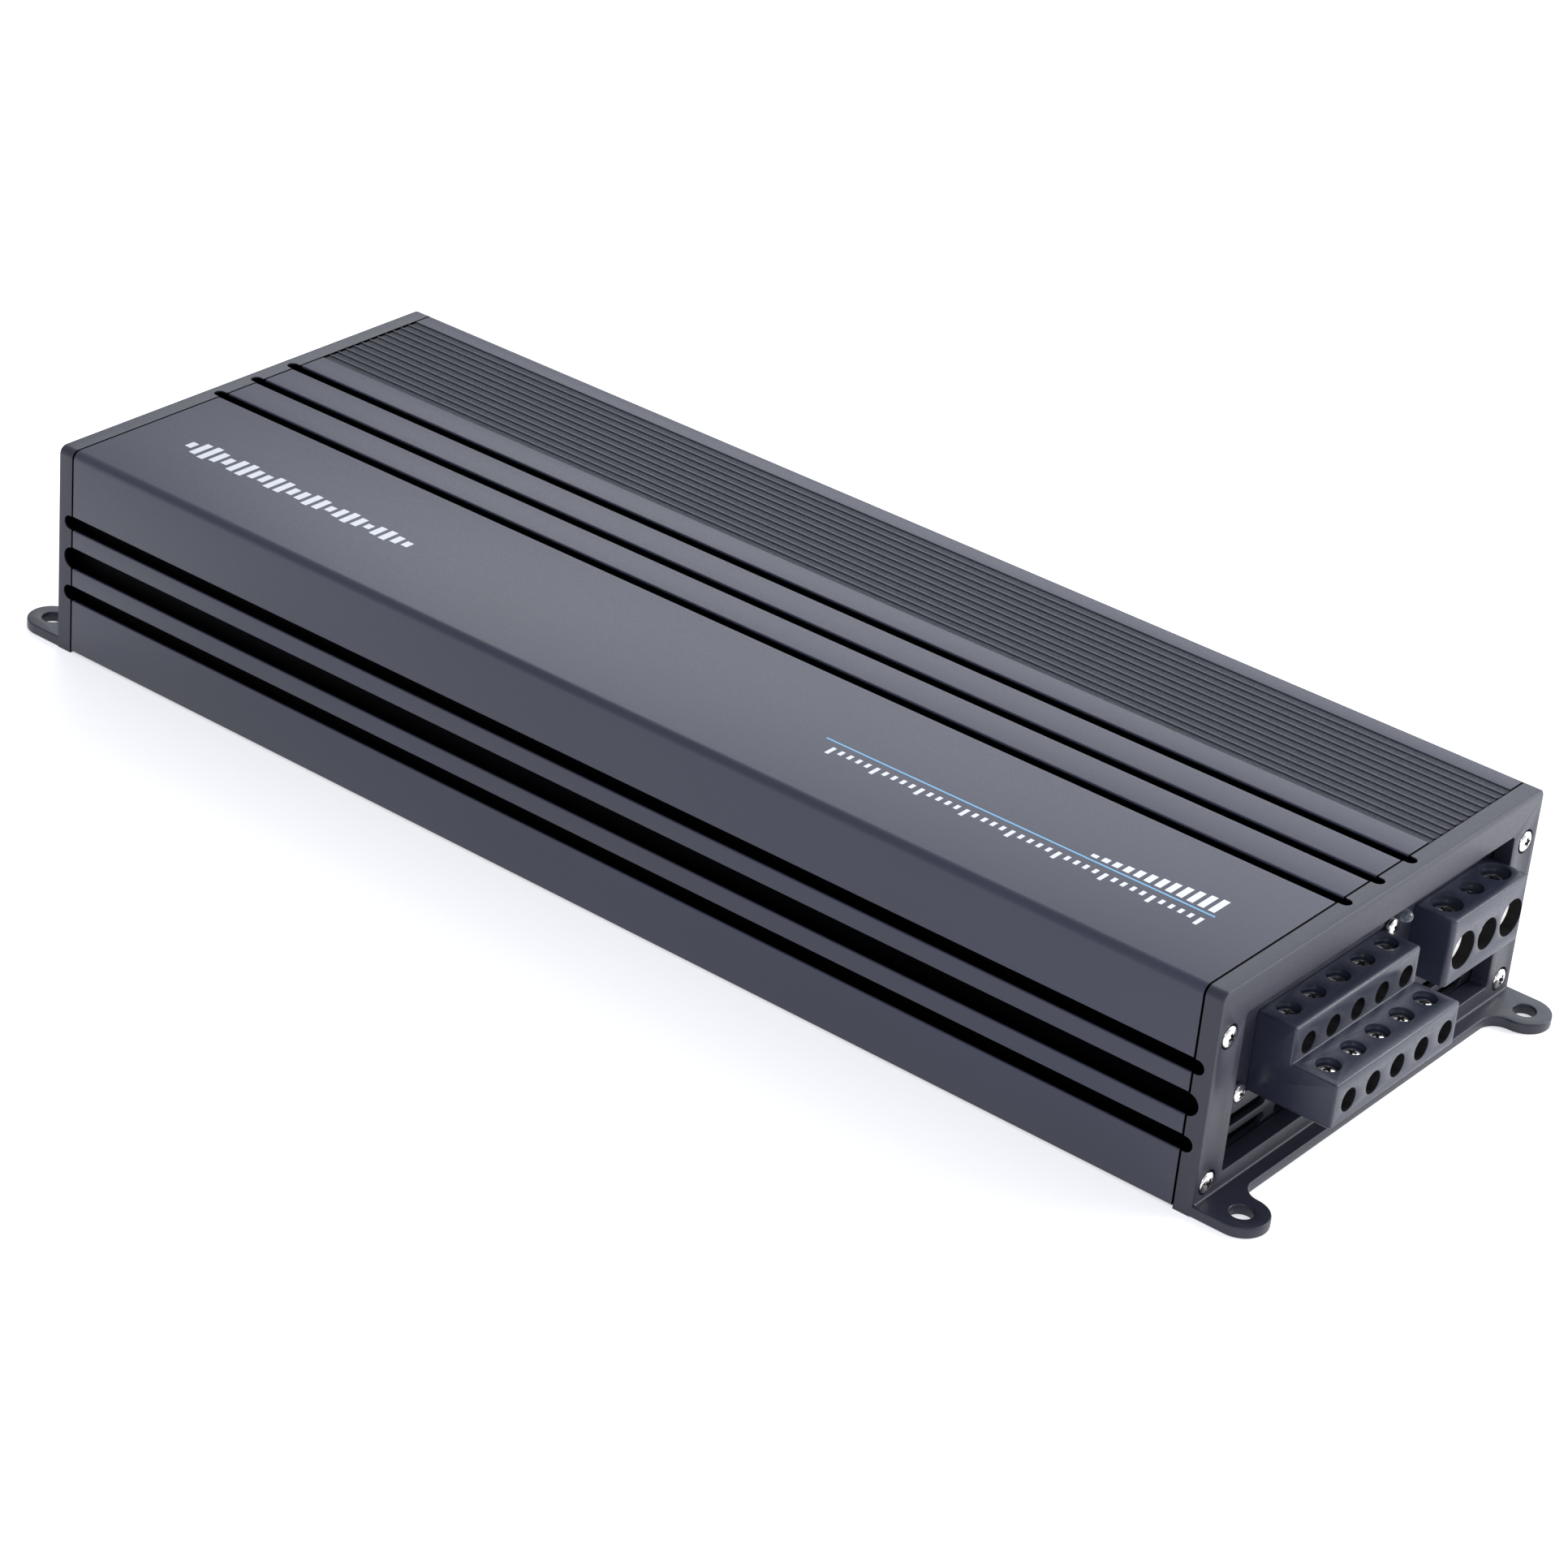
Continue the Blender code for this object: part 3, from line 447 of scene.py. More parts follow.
def second_finish(obj, mat, chosen):
    """Give some faces of a piece another material; chosen takes a face centre in mm."""
    obj.data.materials.append(mat)
    for face in obj.data.polygons:
        if chosen(face.center / MM):
            face.material_index = 1


def arc(cu, cv, radius, start, end, steps):
    points = []
    for i in range(steps + 1):
        a = math.radians(start + (end - start) * i / steps)
        points.append((cu + radius * math.cos(a), cv + radius * math.sin(a)))
    return points


def circle(cu, cv, radius, steps=FINE):
    return arc(cu, cv, radius, 0, 360 * (steps - 1) / steps, steps - 1)


def softened(corners, steps=4):
    """Closed outline from (u, v, radius) corners, each rounded to its radius."""
    points = []
    count = len(corners)
    for i, (u, v, radius) in enumerate(corners):
        here = Vector((u, v))
        if not radius:
            points.append((u, v))
            continue
        before = (Vector(corners[i - 1][:2]) - here).normalized()
        after = (Vector(corners[(i + 1) % count][:2]) - here).normalized()
        half = before.angle(after) / 2
        centre = here + (before + after).normalized() * radius / math.sin(half)
        start = here + before * radius / math.tan(half) - centre
        turn = start.angle_signed(here + after * radius / math.tan(half) - centre)
        for s in range(steps + 1):
            a = -turn * s / steps
            points.append(tuple(centre + Vector((start.x * math.cos(a) - start.y * math.sin(a),
                                                 start.x * math.sin(a) + start.y * math.cos(a)))))
    return points


def rect(u0, u1, v0, v1, radius=0.0, steps=4):
    return softened([(u0, v0, radius), (u1, v0, radius), (u1, v1, radius), (u0, v1, radius)],
                    steps)


def flat(height=0.0):
    """Outline (x, y) laid flat at this height."""
    return Matrix.Translation((0, 0, height * MM))


def across(x):
    """Outline (y, z) stood up across the shell at x."""
    return Matrix(((0, 0, 1, x * MM), (1, 0, 0, 0), (0, 1, 0, 0), (0, 0, 0, 1)))


def lengthwise(y):
    """Outline (x, z) stood up along the shell at y."""
    return Matrix(((1, 0, 0, 0), (0, 0, -1, y * MM), (0, 1, 0, 0), (0, 0, 0, 1)))


def plate(name, loops, thickness, place, edge=0.0, edge_steps=2):
    """Outlines filled and extruded about a middle plane, with rounded edges."""
    curve = bpy.data.curves.new(name, "CURVE")
    curve.dimensions = "2D"
    curve.fill_mode = "BOTH"
    curve.extrude = (thickness / 2 - edge) * MM
    curve.bevel_depth = edge * MM
    curve.offset = -edge * MM
    curve.bevel_resolution = edge_steps
    for loop in loops:
        spline = curve.splines.new("POLY")
        spline.points.add(len(loop) - 1)
        for point, (u, v) in zip(spline.points, loop):
            point.co = (u * MM, v * MM, 0, 1)
        spline.use_cyclic_u = True
    obj = bake(add_object(name, curve))
    bm = bmesh.new()
    bm.from_mesh(obj.data)
    bmesh.ops.remove_doubles(bm, verts=bm.verts, dist=0.000001)
    bmesh.ops.transform(bm, matrix=place, verts=bm.verts)
    bmesh.ops.recalc_face_normals(bm, faces=bm.faces)
    bm.to_mesh(obj.data)
    bm.free()
    return obj


def facing(axis):
    """Rotation that turns local +Z to the named direction."""
    turns = {"+Z": Matrix.Identity(4),
             "-Z": Matrix.Rotation(math.pi, 4, "X"),
             "+X": Matrix.Rotation(math.pi / 2, 4, "Y"),
             "-X": Matrix.Rotation(-math.pi / 2, 4, "Y"),
             "+Y": Matrix.Rotation(-math.pi / 2, 4, "X"),
             "-Y": Matrix.Rotation(math.pi / 2, 4, "X")}
    return turns[axis]


def lathe(name, profile, place=(0, 0, 0), axis="+Z", segments=FINE):
    """Turned solid from (radius, height) points, bottom to top, closed at both ends."""
    bm = bmesh.new()
    rings = []
    for radius, height in profile:
        if radius < 1e-6:
            rings.append([bm.verts.new((0, 0, height))])
            continue
        ring = []
        for i in range(segments):
            a = 2 * math.pi * i / segments
            ring.append(bm.verts.new((radius * math.cos(a), radius * math.sin(a), height)))
        rings.append(ring)
    for low, high in zip(rings, rings[1:]):
        for i in range(segments):
            j = (i + 1) % segments
            corners = [low[i % len(low)], low[j % len(low)],
                       high[j % len(high)], high[i % len(high)]]
            unique = list(dict.fromkeys(corners))
            if len(unique) > 2:
                bm.faces.new(unique)
    for ring in (rings[0], rings[-1]):
        if len(ring) > 2:
            bm.faces.new(ring)
    bmesh.ops.recalc_face_normals(bm, faces=bm.faces)
    bmesh.ops.transform(bm, matrix=Matrix.Translation(place) @ facing(axis), verts=bm.verts)
    return from_bmesh(bm, name)


def ring_solid(name, section, place, axis, segments=FINE):
    """Turned ring from a closed (radius, height) section that stays off the axis."""
    bm = bmesh.new()
    rings = []
    for i in range(segments):
        a = 2 * math.pi * i / segments
        rings.append([bm.verts.new((r * math.cos(a), r * math.sin(a), h)) for r, h in section])
    for i in range(segments):
        here, there = rings[i], rings[(i + 1) % segments]
        for k in range(len(section)):
            m = (k + 1) % len(section)
            bm.faces.new((here[k], there[k], there[m], here[m]))
    bmesh.ops.recalc_face_normals(bm, faces=bm.faces)
    bmesh.ops.transform(bm, matrix=Matrix.Translation(place) @ facing(axis), verts=bm.verts)
    return from_bmesh(bm, name)


def dome(radius, foot, height, steps):
    """Quarter ellipse of (radius, height) points, from above its foot to the axis."""
    points = []
    for i in range(1, steps):
        a = math.radians(90 * i / steps)
        points.append((radius * math.cos(a), foot + height * math.sin(a)))
    return points + [(0.0, foot + height)]


def block(name, low, high, radius=0.0, segments=3):
    """Box with rounded edges."""
    bm = bmesh.new()
    bmesh.ops.create_cube(bm, size=1.0)
    size = [h - l for l, h in zip(low, high)]
    bmesh.ops.scale(bm, vec=size, verts=bm.verts)
    bmesh.ops.translate(bm, vec=[(h + l) / 2 for l, h in zip(low, high)], verts=bm.verts)
    if radius:
        bmesh.ops.bevel(bm, geom=list(bm.edges), offset=radius, segments=segments,
                        profile=0.5, affect="EDGES", clamp_overlap=True)
    return from_bmesh(bm, name)


def drill(x, y, z, radius, depth, axis, rim=0.25, segments=FINE):
    """Cutter for a hole whose mouth is at x, y, z and opens along axis, with a soft rim."""
    profile = [(radius, -depth), (radius, -rim), (radius + rim * 0.3, -rim * 0.3),
               (radius + rim, 0.0), (radius + rim, 1.0)]
    return lathe("drill", profile, (x, y, z), axis, segments)


# --- extruded shell -------------------------------------------------------------------
def trough(centre, width, depth, edge, inward, level, lip=LIP, root=GROOVE_ROOT):
    """Four corners of a groove met while walking along an edge of an outline."""
    corners = []
    for s, down, r in ((-width / 2, 0, lip), (-width / 2, depth, root),
                       (width / 2, depth, root), (width / 2, 0, lip)):
        t = centre + s
        corners.append((level[0] + edge[0] * t + inward[0] * down,
                        level[1] + edge[1] * t + inward[1] * down, r))
    return corners


def shell_outline():
    bottom = SHELL_LOW.z
    corners = [(-HALF_W, bottom, LIP)]
    for z, width in reversed(SIDE_GROOVES):
        corners += trough(z, width, GROOVE_DEPTH, (0, 1), (1, 0), (-HALF_W, 0))
    corners.append((-HALF_W, TOP_Z, CORNER_R))
    for y in TOP_GROOVES:
        corners += trough(y, TOP_GROOVE_W, GROOVE_DEPTH, (1, 0), (0, -1), (0, TOP_Z))
    for i in range(FLUTES):
        y = FIRST_FLUTE + FLUTE_PITCH * i
        corners += trough(y, FLUTE_W, FLUTE_DEPTH, (1, 0), (0, -1), (0, TOP_Z),
                          FLUTE_ROUND, FLUTE_ROUND)
    corners.append((HALF_W, TOP_Z, CORNER_R))
    for z, width in SIDE_GROOVES:
        corners += trough(-z, width, GROOVE_DEPTH, (0, -1), (-1, 0), (HALF_W, 0))
    corners.append((HALF_W, bottom, LIP))
    corners += [(INNER_Y, bottom, LIP), (INNER_Y, TOP_Z - WALL, 1.0),
                (-INNER_Y, TOP_Z - WALL, 1.0), (-INNER_Y, bottom, LIP)]
    return softened(corners, 4)


def make_shell():
    shell = plate("shell", [shell_outline()], 2 * SHELL_END, across(0), edge=0.06, edge_steps=1)
    piece(shell, "shell_extrusion", shell_finish(), node="heatsink_shell")


class Mask(Nodes):
    """Masks worked out from object-space position, in millimetres."""

    def __init__(self, name):
        super().__init__(name)
        scale = self.add("ShaderNodeVectorMath", operation="SCALE")
        self.link(self.coords.outputs["Object"], scale.inputs[0])
        scale.inputs["Scale"].default_value = 1 / MM
        split = self.add("ShaderNodeSeparateXYZ")
        self.link(scale.outputs["Vector"], split.inputs["Vector"])
        self.x, self.y, self.z = (split.outputs[axis] for axis in "XYZ")

    def math(self, operation, *values):
        node = self.add("ShaderNodeMath", operation=operation)
        for socket, value in zip(node.inputs, values):
            if isinstance(value, (int, float)):
                socket.default_value = value
            else:
                self.link(value, socket)
        return node.outputs["Value"]

    def both(self, a, b):
        return self.math("MULTIPLY", a, b)

    def either(self, a, b):
        return self.math("MAXIMUM", a, b)

    def between(self, value, low, high):
        return self.both(self.math("GREATER_THAN", value, low),
                         self.math("LESS_THAN", value, high))

    def inside(self, x0, x1, y0, y1):
        return self.both(self.between(self.x, x0, x1), self.between(self.y, y0, y1))

    def column(self, x0, pitch):
        """Index of the repeat that a point falls in, and how far through it, 0 to 1."""
        turns = self.math("DIVIDE", self.math("SUBTRACT", self.x, x0), pitch)
        return self.math("FLOOR", turns), self.math("FRACT", turns)


def bars(m, area, count, duty, reach):
    """Row of bars along an area; reach(index) gives a bar's lowest and highest y in mm."""
    x0, x1 = area[:2]
    index, through = m.column(x0, (x1 - x0) / count)
    row = m.both(m.between(index, -0.5, count - 0.5), m.math("LESS_THAN", through, duty))
    return m.both(row, m.between(m.y, *reach(index)))


def shell_finish():
    """Charcoal coat, with painted shade in black in the grooves and on the cut ends, grainy in the
    flutes, with printed graphics.
    """
    m = Mask("charcoal_shell")
    drift = m.noise(12.0, 2.0)
    fine = m.noise(COAT_GRAIN, 3.0)
    coarse = m.noise(1400.0, 4.0)
    coat = m.blend(m.ramp(drift), CHARCOAL_DARK, CHARCOAL_LIGHT)

    flute_floor = m.both(m.between(m.z, TOP_Z - 0.6, TOP_Z - 0.1),
                         m.between(m.y, FIRST_FLUTE - 2, HALF_W - 5))
    coat = m.blend(flute_floor, coat, m.blend(m.ramp(coarse), FLUTE_DARK, FLUTE_LIGHT))

    # painted shade: groove interiors and the cut ends at the seams go black, and fully metallic so
    # they barely reflect
    top_groove = m.both(m.between(m.z, TOP_Z - 4, TOP_Z - 0.5), m.between(m.y, -16, 16))
    side_groove = m.both(m.math("LESS_THAN", m.math("ABSOLUTE", m.y), HALF_W - 0.5),
                         m.between(m.z, 12, 38))
    cut_end = m.math("GREATER_THAN", m.math("ABSOLUTE", m.x), SHELL_END - 0.12)
    groove = m.either(cut_end, m.either(top_groove, side_groove))
    coat = m.blend(groove, coat, PAINTED_SHADE_BLACK)

    on_top = m.math("GREATER_THAN", m.z, TOP_Z - 0.2)
    mid = (METER[2] + METER[3]) / 2
    half = (METER[3] - METER[2]) / 2

    def spectrum(index):
        wave = m.math("ABSOLUTE", m.math("SINE", m.math("MULTIPLY", index, 0.83)))
        fade = m.math("SUBTRACT", 1.0, m.math("MULTIPLY", index, 0.016))
        tall = m.math("MULTIPLY", m.math("MULTIPLY_ADD", wave, 0.62 * half, 0.38 * half), fade)
        return m.math("SUBTRACT", mid, tall), m.math("ADD", mid, tall)

    def rising(index):
        return RAMP[2], m.math("MULTIPLY_ADD", index, (RAMP[3] - RAMP[2]) / 13, RAMP[2] + 1.3)

    def ticks(index):
        fifth = m.math("LESS_THAN", m.math("MODULO", index, 5.0), 0.5)
        return m.math("MULTIPLY_ADD", fifth, -1.4, SCALE[2] + 1.4), SCALE[3]

    white = m.either(bars(m, METER, 24, 0.62, spectrum), bars(m, RAMP, 12, 0.6, rising))
    white = m.both(m.either(white, bars(m, SCALE, 41, 0.42, ticks)), on_top)
    blue = m.both(m.inside(*PINSTRIPE), on_top)
    coat = m.blend(white, coat, PRINT_WHITE)
    coat = m.blend(blue, coat, PRINT_BLUE)

    rough = m.ramp(fine, 0.36, 0.46)
    rough = m.math("MULTIPLY_ADD", m.either(groove, flute_floor), 0.3, rough)
    rough = m.math("MULTIPLY_ADD", m.either(white, blue), 0.08, rough)
    m.set("Base Color", coat)
    # painted shade: full metallic on the black grooves and seams keeps them from reflecting
    m.set("Metallic", groove)
    m.set("Roughness", rough)
    m.set("Specular IOR Level", 0.5)
    m.set("Normal", m.bump(fine, 0.35, 0.00002))
    return m.mat


# --- end frames -----------------------------------------------------------------------
def flange_outline(side):
    ear_y = HALF_W - EAR_IN
    inner_edge = ear_y - EAR_R
    flange_x = FACE_X + FLANGE_OUT
    half = arc(FACE_X + EAR_OUT, ear_y, EAR_R, 90, -90, 20)
    half += arc(flange_x + EAR_FILLET, inner_edge - EAR_FILLET, EAR_FILLET, 90, 180, 10)
    lower = [(x, -y) for x, y in reversed(half)]
    points = [(FRAME_BACK + 0.5, HALF_W), (FACE_X, HALF_W)] + half
    points += lower + [(FACE_X, -HALF_W), (FRAME_BACK + 0.5, -HALF_W)]
    return [(side * x, y) for x, y in points]


def frame_outline():
    return softened([(-HALF_W, 0, 0), (-HALF_W, TOP_Z, CORNER_R), (HALF_W, TOP_Z, CORNER_R),
                     (HALF_W, 0, 0)], 10)


def groove_end(side, centre, width, axis):
    """Round-ended cutters that carry a shell groove into an end frame."""
    over = 1.0
    depth = GROOVE_DEPTH + over
    r = width / 2
    start = FRAME_BACK - over
    stop = FRAME_BACK + GROOVE_RUN - r
    outline = [(start, centre - r)] + arc(stop, centre, r, -90, 90, 14) + [(start, centre + r)]
    outline = [(side * u, v) for u, v in outline]
    if axis == "Z":
        return [plate("groove_end", [outline], depth, flat(TOP_Z + (over - GROOVE_DEPTH) / 2))]
    return [plate("groove_end", [outline], depth,
                  lengthwise(hand * (HALF_W + (over - GROOVE_DEPTH) / 2))) for hand in (-1, 1)]


def frame_screw_places():
    return [tuple(middle(f"terminal_frame_screw_{i}")) for i in range(1, 5)]


def soften_face(obj, x, width, outer):
    """Round the sharp edges in the plane at x, on the outer outline or round the window."""
    bm = bmesh.new()
    bm.from_mesh(obj.data)
    bmesh.ops.dissolve_limit(bm, angle_limit=math.radians(0.5), verts=bm.verts, edges=bm.edges)
    edge_y = (WINDOW_Y + 1) * MM
    edge_z = (WINDOW_HIGH + 1) * MM
    sharp = 0.6
    chosen = [e for e in bm.edges
              if all(abs(v.co.x - x * MM) < 0.00001 for v in e.verts)
              and len(e.link_faces) == 2 and e.calc_face_angle() > sharp
              and all(abs(v.co.y) > edge_y or v.co.z > edge_z for v in e.verts) == outer]
    bmesh.ops.bevel(bm, geom=chosen, offset=width * MM, segments=3, profile=0.5,
                    affect="EDGES", clamp_overlap=True)
    bm.to_mesh(obj.data)
    bm.free()
    return obj


def frame_finish():
    """Charcoal coat, with painted shade in black in the groove ends and on the face that meets the
    shell.
    """
    m = Mask("charcoal_frame")
    fine = m.noise(COAT_GRAIN, 3.0)
    coat = m.blend(m.ramp(m.noise(12.0, 2.0)), FRAME_DARK, FRAME_LIGHT)
    along = m.math("ABSOLUTE", m.x)
    aside = m.math("ABSOLUTE", m.y)
    side_pocket = m.both(m.between(aside, HALF_W - 3, HALF_W - 0.4), m.between(m.z, 13.5, 37))
    top_pocket = m.both(m.between(m.z, TOP_Z - 3, TOP_Z - 0.4),
                        m.math("LESS_THAN", aside, 14.8))
    pocket = m.both(m.math("LESS_THAN", along, FRAME_BACK + GROOVE_RUN + 0.05),
                    m.either(side_pocket, top_pocket))
    # painted shade: groove-end pockets and the back face in the seam go black, and fully metallic so
    # they barely reflect
    dark = m.either(pocket, m.math("LESS_THAN", along, FRAME_BACK + 0.15))
    m.set("Base Color", m.blend(dark, coat, PAINTED_SHADE_BLACK))
    m.set("Metallic", dark)
    m.set("Roughness", m.ramp(fine, 0.38, 0.48))
    m.set("Normal", m.bump(fine, 0.35, 0.00002))
    return m.mat


def make_flange(side):
    ear_y = HALF_W - EAR_IN
    holes = [circle(side * (FACE_X + EAR_OUT), hand * ear_y, EAR_HOLE_R) for hand in (-1, 1)]
    return plate("flange", [flange_outline(side)] + holes, FLANGE_T, flat(FLANGE_T / 2),
                 edge=FACE_EDGE)


def make_foot_fillet(side):
    """Fillet where a frame's face meets its flange, sunk a little into both."""
    low = FLANGE_T - 0.3
    back = FACE_X - 0.3
    top = FLANGE_T + FOOT_FILLET
    section = [(back, low), (back, top), (FACE_X, top)]
    section += arc(FACE_X + FOOT_FILLET, top, FOOT_FILLET, 180, 270, 6)[1:]
    section += [(FACE_X + FOOT_FILLET, low)]
    return plate("fillet", [[(side * u, v) for u, v in section]], 2 * HALF_W - 1.2,
                 lengthwise(0))


def make_end_frame(name, side, finish):
    window = rect(-WINDOW_Y, WINDOW_Y, WINDOW_LOW, WINDOW_HIGH, WINDOW_R, 8)
    centre = side * (FRAME_BACK + FACE_X) / 2
    body = plate(name, [frame_outline(), window], FRAME_T, across(centre))
    soften_face(body, side * FACE_X, FACE_EDGE, True)
    soften_face(body, side * FACE_X, WINDOW_EDGE, False)
    combine(body, [make_flange(side), make_foot_fillet(side)], "UNION")
    tools = []
    for y in TOP_GROOVES:
        tools += groove_end(side, y, TOP_GROOVE_W, "Z")
    for z, width in SIDE_GROOVES:
        tools += groove_end(side, z, width, "Y")
    axis = "+X" if side > 0 else "-X"
    for _, y, z in frame_screw_places():
        tools.append(drill(side * FACE_X, y, z, COUNTERBORE_R, COUNTERBORE, axis, rim=0.2))
    cut(body, tools)
    piece(body, f"{name}_casting", finish, node=name)


# --- panels and cover -----------------------------------------------------------------
def make_terminal_panel():
    low, high = PANEL_LOW, PANEL_HIGH
    loops = [rect(low.y, high.y, low.z, high.z, 1.0)]
    for row in VENT_ROWS:
        for y0, y1 in VENT_COLUMNS:
            loops.append(rect(y0, y1, row - VENT_H / 2, row + VENT_H / 2, VENT_H / 2 - 0.01, 8))
    loops.append(rect(SPK_Y[0] - GAP, SPK_Y[1] + GAP, SPK_Z[0] - GAP, SPK_Z[2] + GAP, 0.6))
    loops.append(rect(PWR_Y[0] - GAP, PWR_Y[1] + GAP, PWR_Z[0] - GAP, PWR_Z[1] + GAP, 0.6))
    lamp = middle("status_lamp")
    loops.append(circle(lamp.y, lamp.z, 1.8, MEDIUM))
    thick = high.x - low.x
    panel = plate("terminal_panel", loops, thick, across((low.x + high.x) / 2), edge=0.15)
    piece(panel, "terminal_panel_plate", panel_black, node="terminal_panel")


# --- terminal blocks ------------------------------------------------------------------
def make_speaker_block():
    y0, y1 = SPK_Y
    low, step, top = SPK_Z
    corners = [(BLOCK_BACK, low, 0), (SPK_LOWER_X, low, 0.7), (SPK_LOWER_X, step, 0.7),
               (SPK_UPPER_X, step, 0.3), (SPK_UPPER_X, top, 0.7), (BLOCK_BACK, top, 0)]
    body = plate("speaker_block", [softened(corners, 5)], y1 - y0,
                 lengthwise((y0 + y1) / 2), edge=BLOCK_EDGE, edge_steps=3)
    tools = []
    for tier, front, crown in TIERS:
        for y in SPK_WAYS:
            wire_z = SPK_WIRE_Z[tier]
            screw_x = front - SPK_SCREW_BACK
            tools.append(drill(front, y, wire_z, SPK_WIRE_R[tier], SPK_WIRE_DEPTH, "+X", HOLE_RIM))
            tools.append(drill(screw_x, y, crown, SPK_WELL_R, SPK_WELL_DROP, "+Z", HOLE_RIM))
            tools.append(drill(screw_x, y, crown, SPK_SHANK_HOLE_R, crown - wire_z, "+Z", 0.1))
    cut(body, tools)
    piece(body, "speaker_block_moulding", block_plastic, node="speaker_terminal_block")

    # painted shade: the walls of the speaker wire holes get the near-black lining
    def in_wire_hole(c):
        return any(math.hypot(c.y - y, c.z - SPK_WIRE_Z[tier]) < SPK_WIRE_R[tier] + 0.03
                   and front - SPK_WIRE_DEPTH - 0.2 < c.x < front - 0.3
                   for tier, front, _ in TIERS for y in SPK_WAYS)

    second_finish(body, bore_black, in_wire_hole)
    for tier, front, _ in TIERS:
        for i, y in enumerate(SPK_WAYS, start=1):
            make_speaker_cage(f"speaker_cage_{tier}_{i}", tier, front, y)


def make_speaker_cage(name, tier, front, y):
    """Plated liner inside a wire hole, drilled for its clamp screw."""
    r = SPK_WIRE_R[tier] - 0.04
    bore = r - SPK_CAGE_WALL
    section = [(r, 0.0), (r, SPK_CAGE_LENGTH), (bore, SPK_CAGE_LENGTH), (bore, 0.25),
               (r - 0.2, 0.0)]
    wire_z = SPK_WIRE_Z[tier]
    liner = ring_solid("liner", section, (front - SPK_CAGE_BACK[tier], y, wire_z), "-X", MEDIUM)
    cut(liner, [drill(front - SPK_SCREW_BACK, y, wire_z + 4, SPK_SHANK_HOLE_R, 4.0, "+Z", 0.1,
                      MEDIUM)])
    # painted light: the liner's plating glows faintly
    piece(liner, name, barrel_plate_painted_glow)


def make_power_block():
    y0, y1 = PWR_Y
    low, top = PWR_Z
    corners = [(BLOCK_BACK, y0, 0), (PWR_X, y0, 1.3), (PWR_X, y1, 0.6), (BLOCK_BACK, y1, 0)]
    body = plate("power_block", [softened(corners, 6)], top - low, flat((low + top) / 2),
                 edge=BLOCK_EDGE, edge_steps=3)
    tools = []
    for _, y, r in PWR_WAYS:
        tools.append(drill(PWR_X, y, PWR_WIRE_Z, r, PWR_WIRE_DEPTH, "+X", HOLE_RIM))
        tools.append(drill(PWR_X - PWR_SCREW_BACK, y, top, r - PWR_WELL_LEDGE,
                           top - PWR_WIRE_Z, "+Z", 0.15))
    cut(body, tools)
    piece(body, "power_block_moulding", block_plastic, node="power_terminal_block")
    # painted shade: the walls of the power wire holes get the near-black lining
    second_finish(body, bore_black, lambda c: c.x < PWR_X - 0.3 and any(
        math.hypot(c.y - y, c.z - PWR_WIRE_Z) < r + 0.03 for _, y, r in PWR_WAYS))
    for way, _, _ in PWR_WAYS:
        make_power_clamp(way)


def make_power_clamp(way):
    """Plated cup that takes the wire, open to the front and drilled for its screw."""
    node = f"power_barrel_{way}"
    low, high = cad(node)
    place = (low + high) / 2
    outer = (high.z - low.z) / 2
    bore = outer - BARREL_WALL
    length = high.x - low.x
    profile = [(0, 0), (outer, 0), (outer, length), (bore + 0.15, length), (bore, length - 0.3),
               (bore, BARREL_FLOOR), (0, BARREL_FLOOR)]
    barrel = lathe(node, profile, (low.x, place.y, place.z), "+X")
    cut(barrel, [drill(PWR_X - PWR_SCREW_BACK, place.y, high.z + 0.6, PWR_SHANK_HOLE_R, 4.0,
                       "+Z", 0.1)])
    # painted light: the barrel's plating glows faintly
    piece(barrel, f"{node}_tube", barrel_plate_painted_glow, node=node)


# --- screws ---------------------------------------------------------------------------
def phillips(reach, depth):
    """Cross-shaped cutter standing on its tip at the origin, opening upwards."""
    wings = []
    for turn in (0, 90):
        w = reach * 0.26
        outline = [(-reach * 0.35, -depth), (reach * 0.35, -depth), (reach, 0.6),
                   (-reach, 0.6)]
        place = Matrix.Rotation(math.radians(turn), 4, "Z") @ lengthwise(0)
        wings.append(plate("wing", [outline], 2 * w, place))
    return wings


def screw(node, place, axis, size, length, turn, body="root"):
    """Cross-recessed pan-head screw; place is the head's crown."""
    head_r, head_h, shank_r = size
    edge = head_h * (1 - HEAD_DOME)
    domed = head_h - edge
    profile = [(0, -length), (shank_r * 0.7, -length), (shank_r, -length + 0.3),
               (shank_r, -head_h), (head_r - 0.12, -head_h), (head_r, -head_h + 0.12),
               (head_r, -head_h + edge)]
    obj = lathe(node, profile + dome(head_r, -head_h + edge, domed, 6))
    reach = head_r * 0.62
    cut(obj, phillips(reach, min(1.1, head_h * 0.75)))
    recess = []
    for face in obj.data.polygons:
        centre = face.center / MM
        out = math.hypot(centre.x, centre.y)
        crown = domed * (math.sqrt(max(0.0, 1 - (out / head_r) ** 2)) - 1)
        if out < reach and -head_h < centre.z < crown - 0.08:
            recess.append(face.index)
    spin = Matrix.Rotation(math.radians(turn), 4, "Z")
    obj.data.transform(Matrix.Translation(Vector(place) * MM) @ facing(axis) @ spin)
    piece(obj, f"{node}_head", nickel, body=body, node=node, angle=40)
    # painted shade: faces inside the cross recess get the dark painted-shade material
    obj.data.materials.append(recess_painted_shade)
    for index in recess:
        obj.data.polygons[index].material_index = 1


def clamp_screw(node, x, y, size, turn):
    """Screw that stands in a block's well and turns on a body of its own."""
    low, high = cad(node)
    screw(node, (x, y, high.z), "+Z", size, high.z - low.z, turn, body=node)


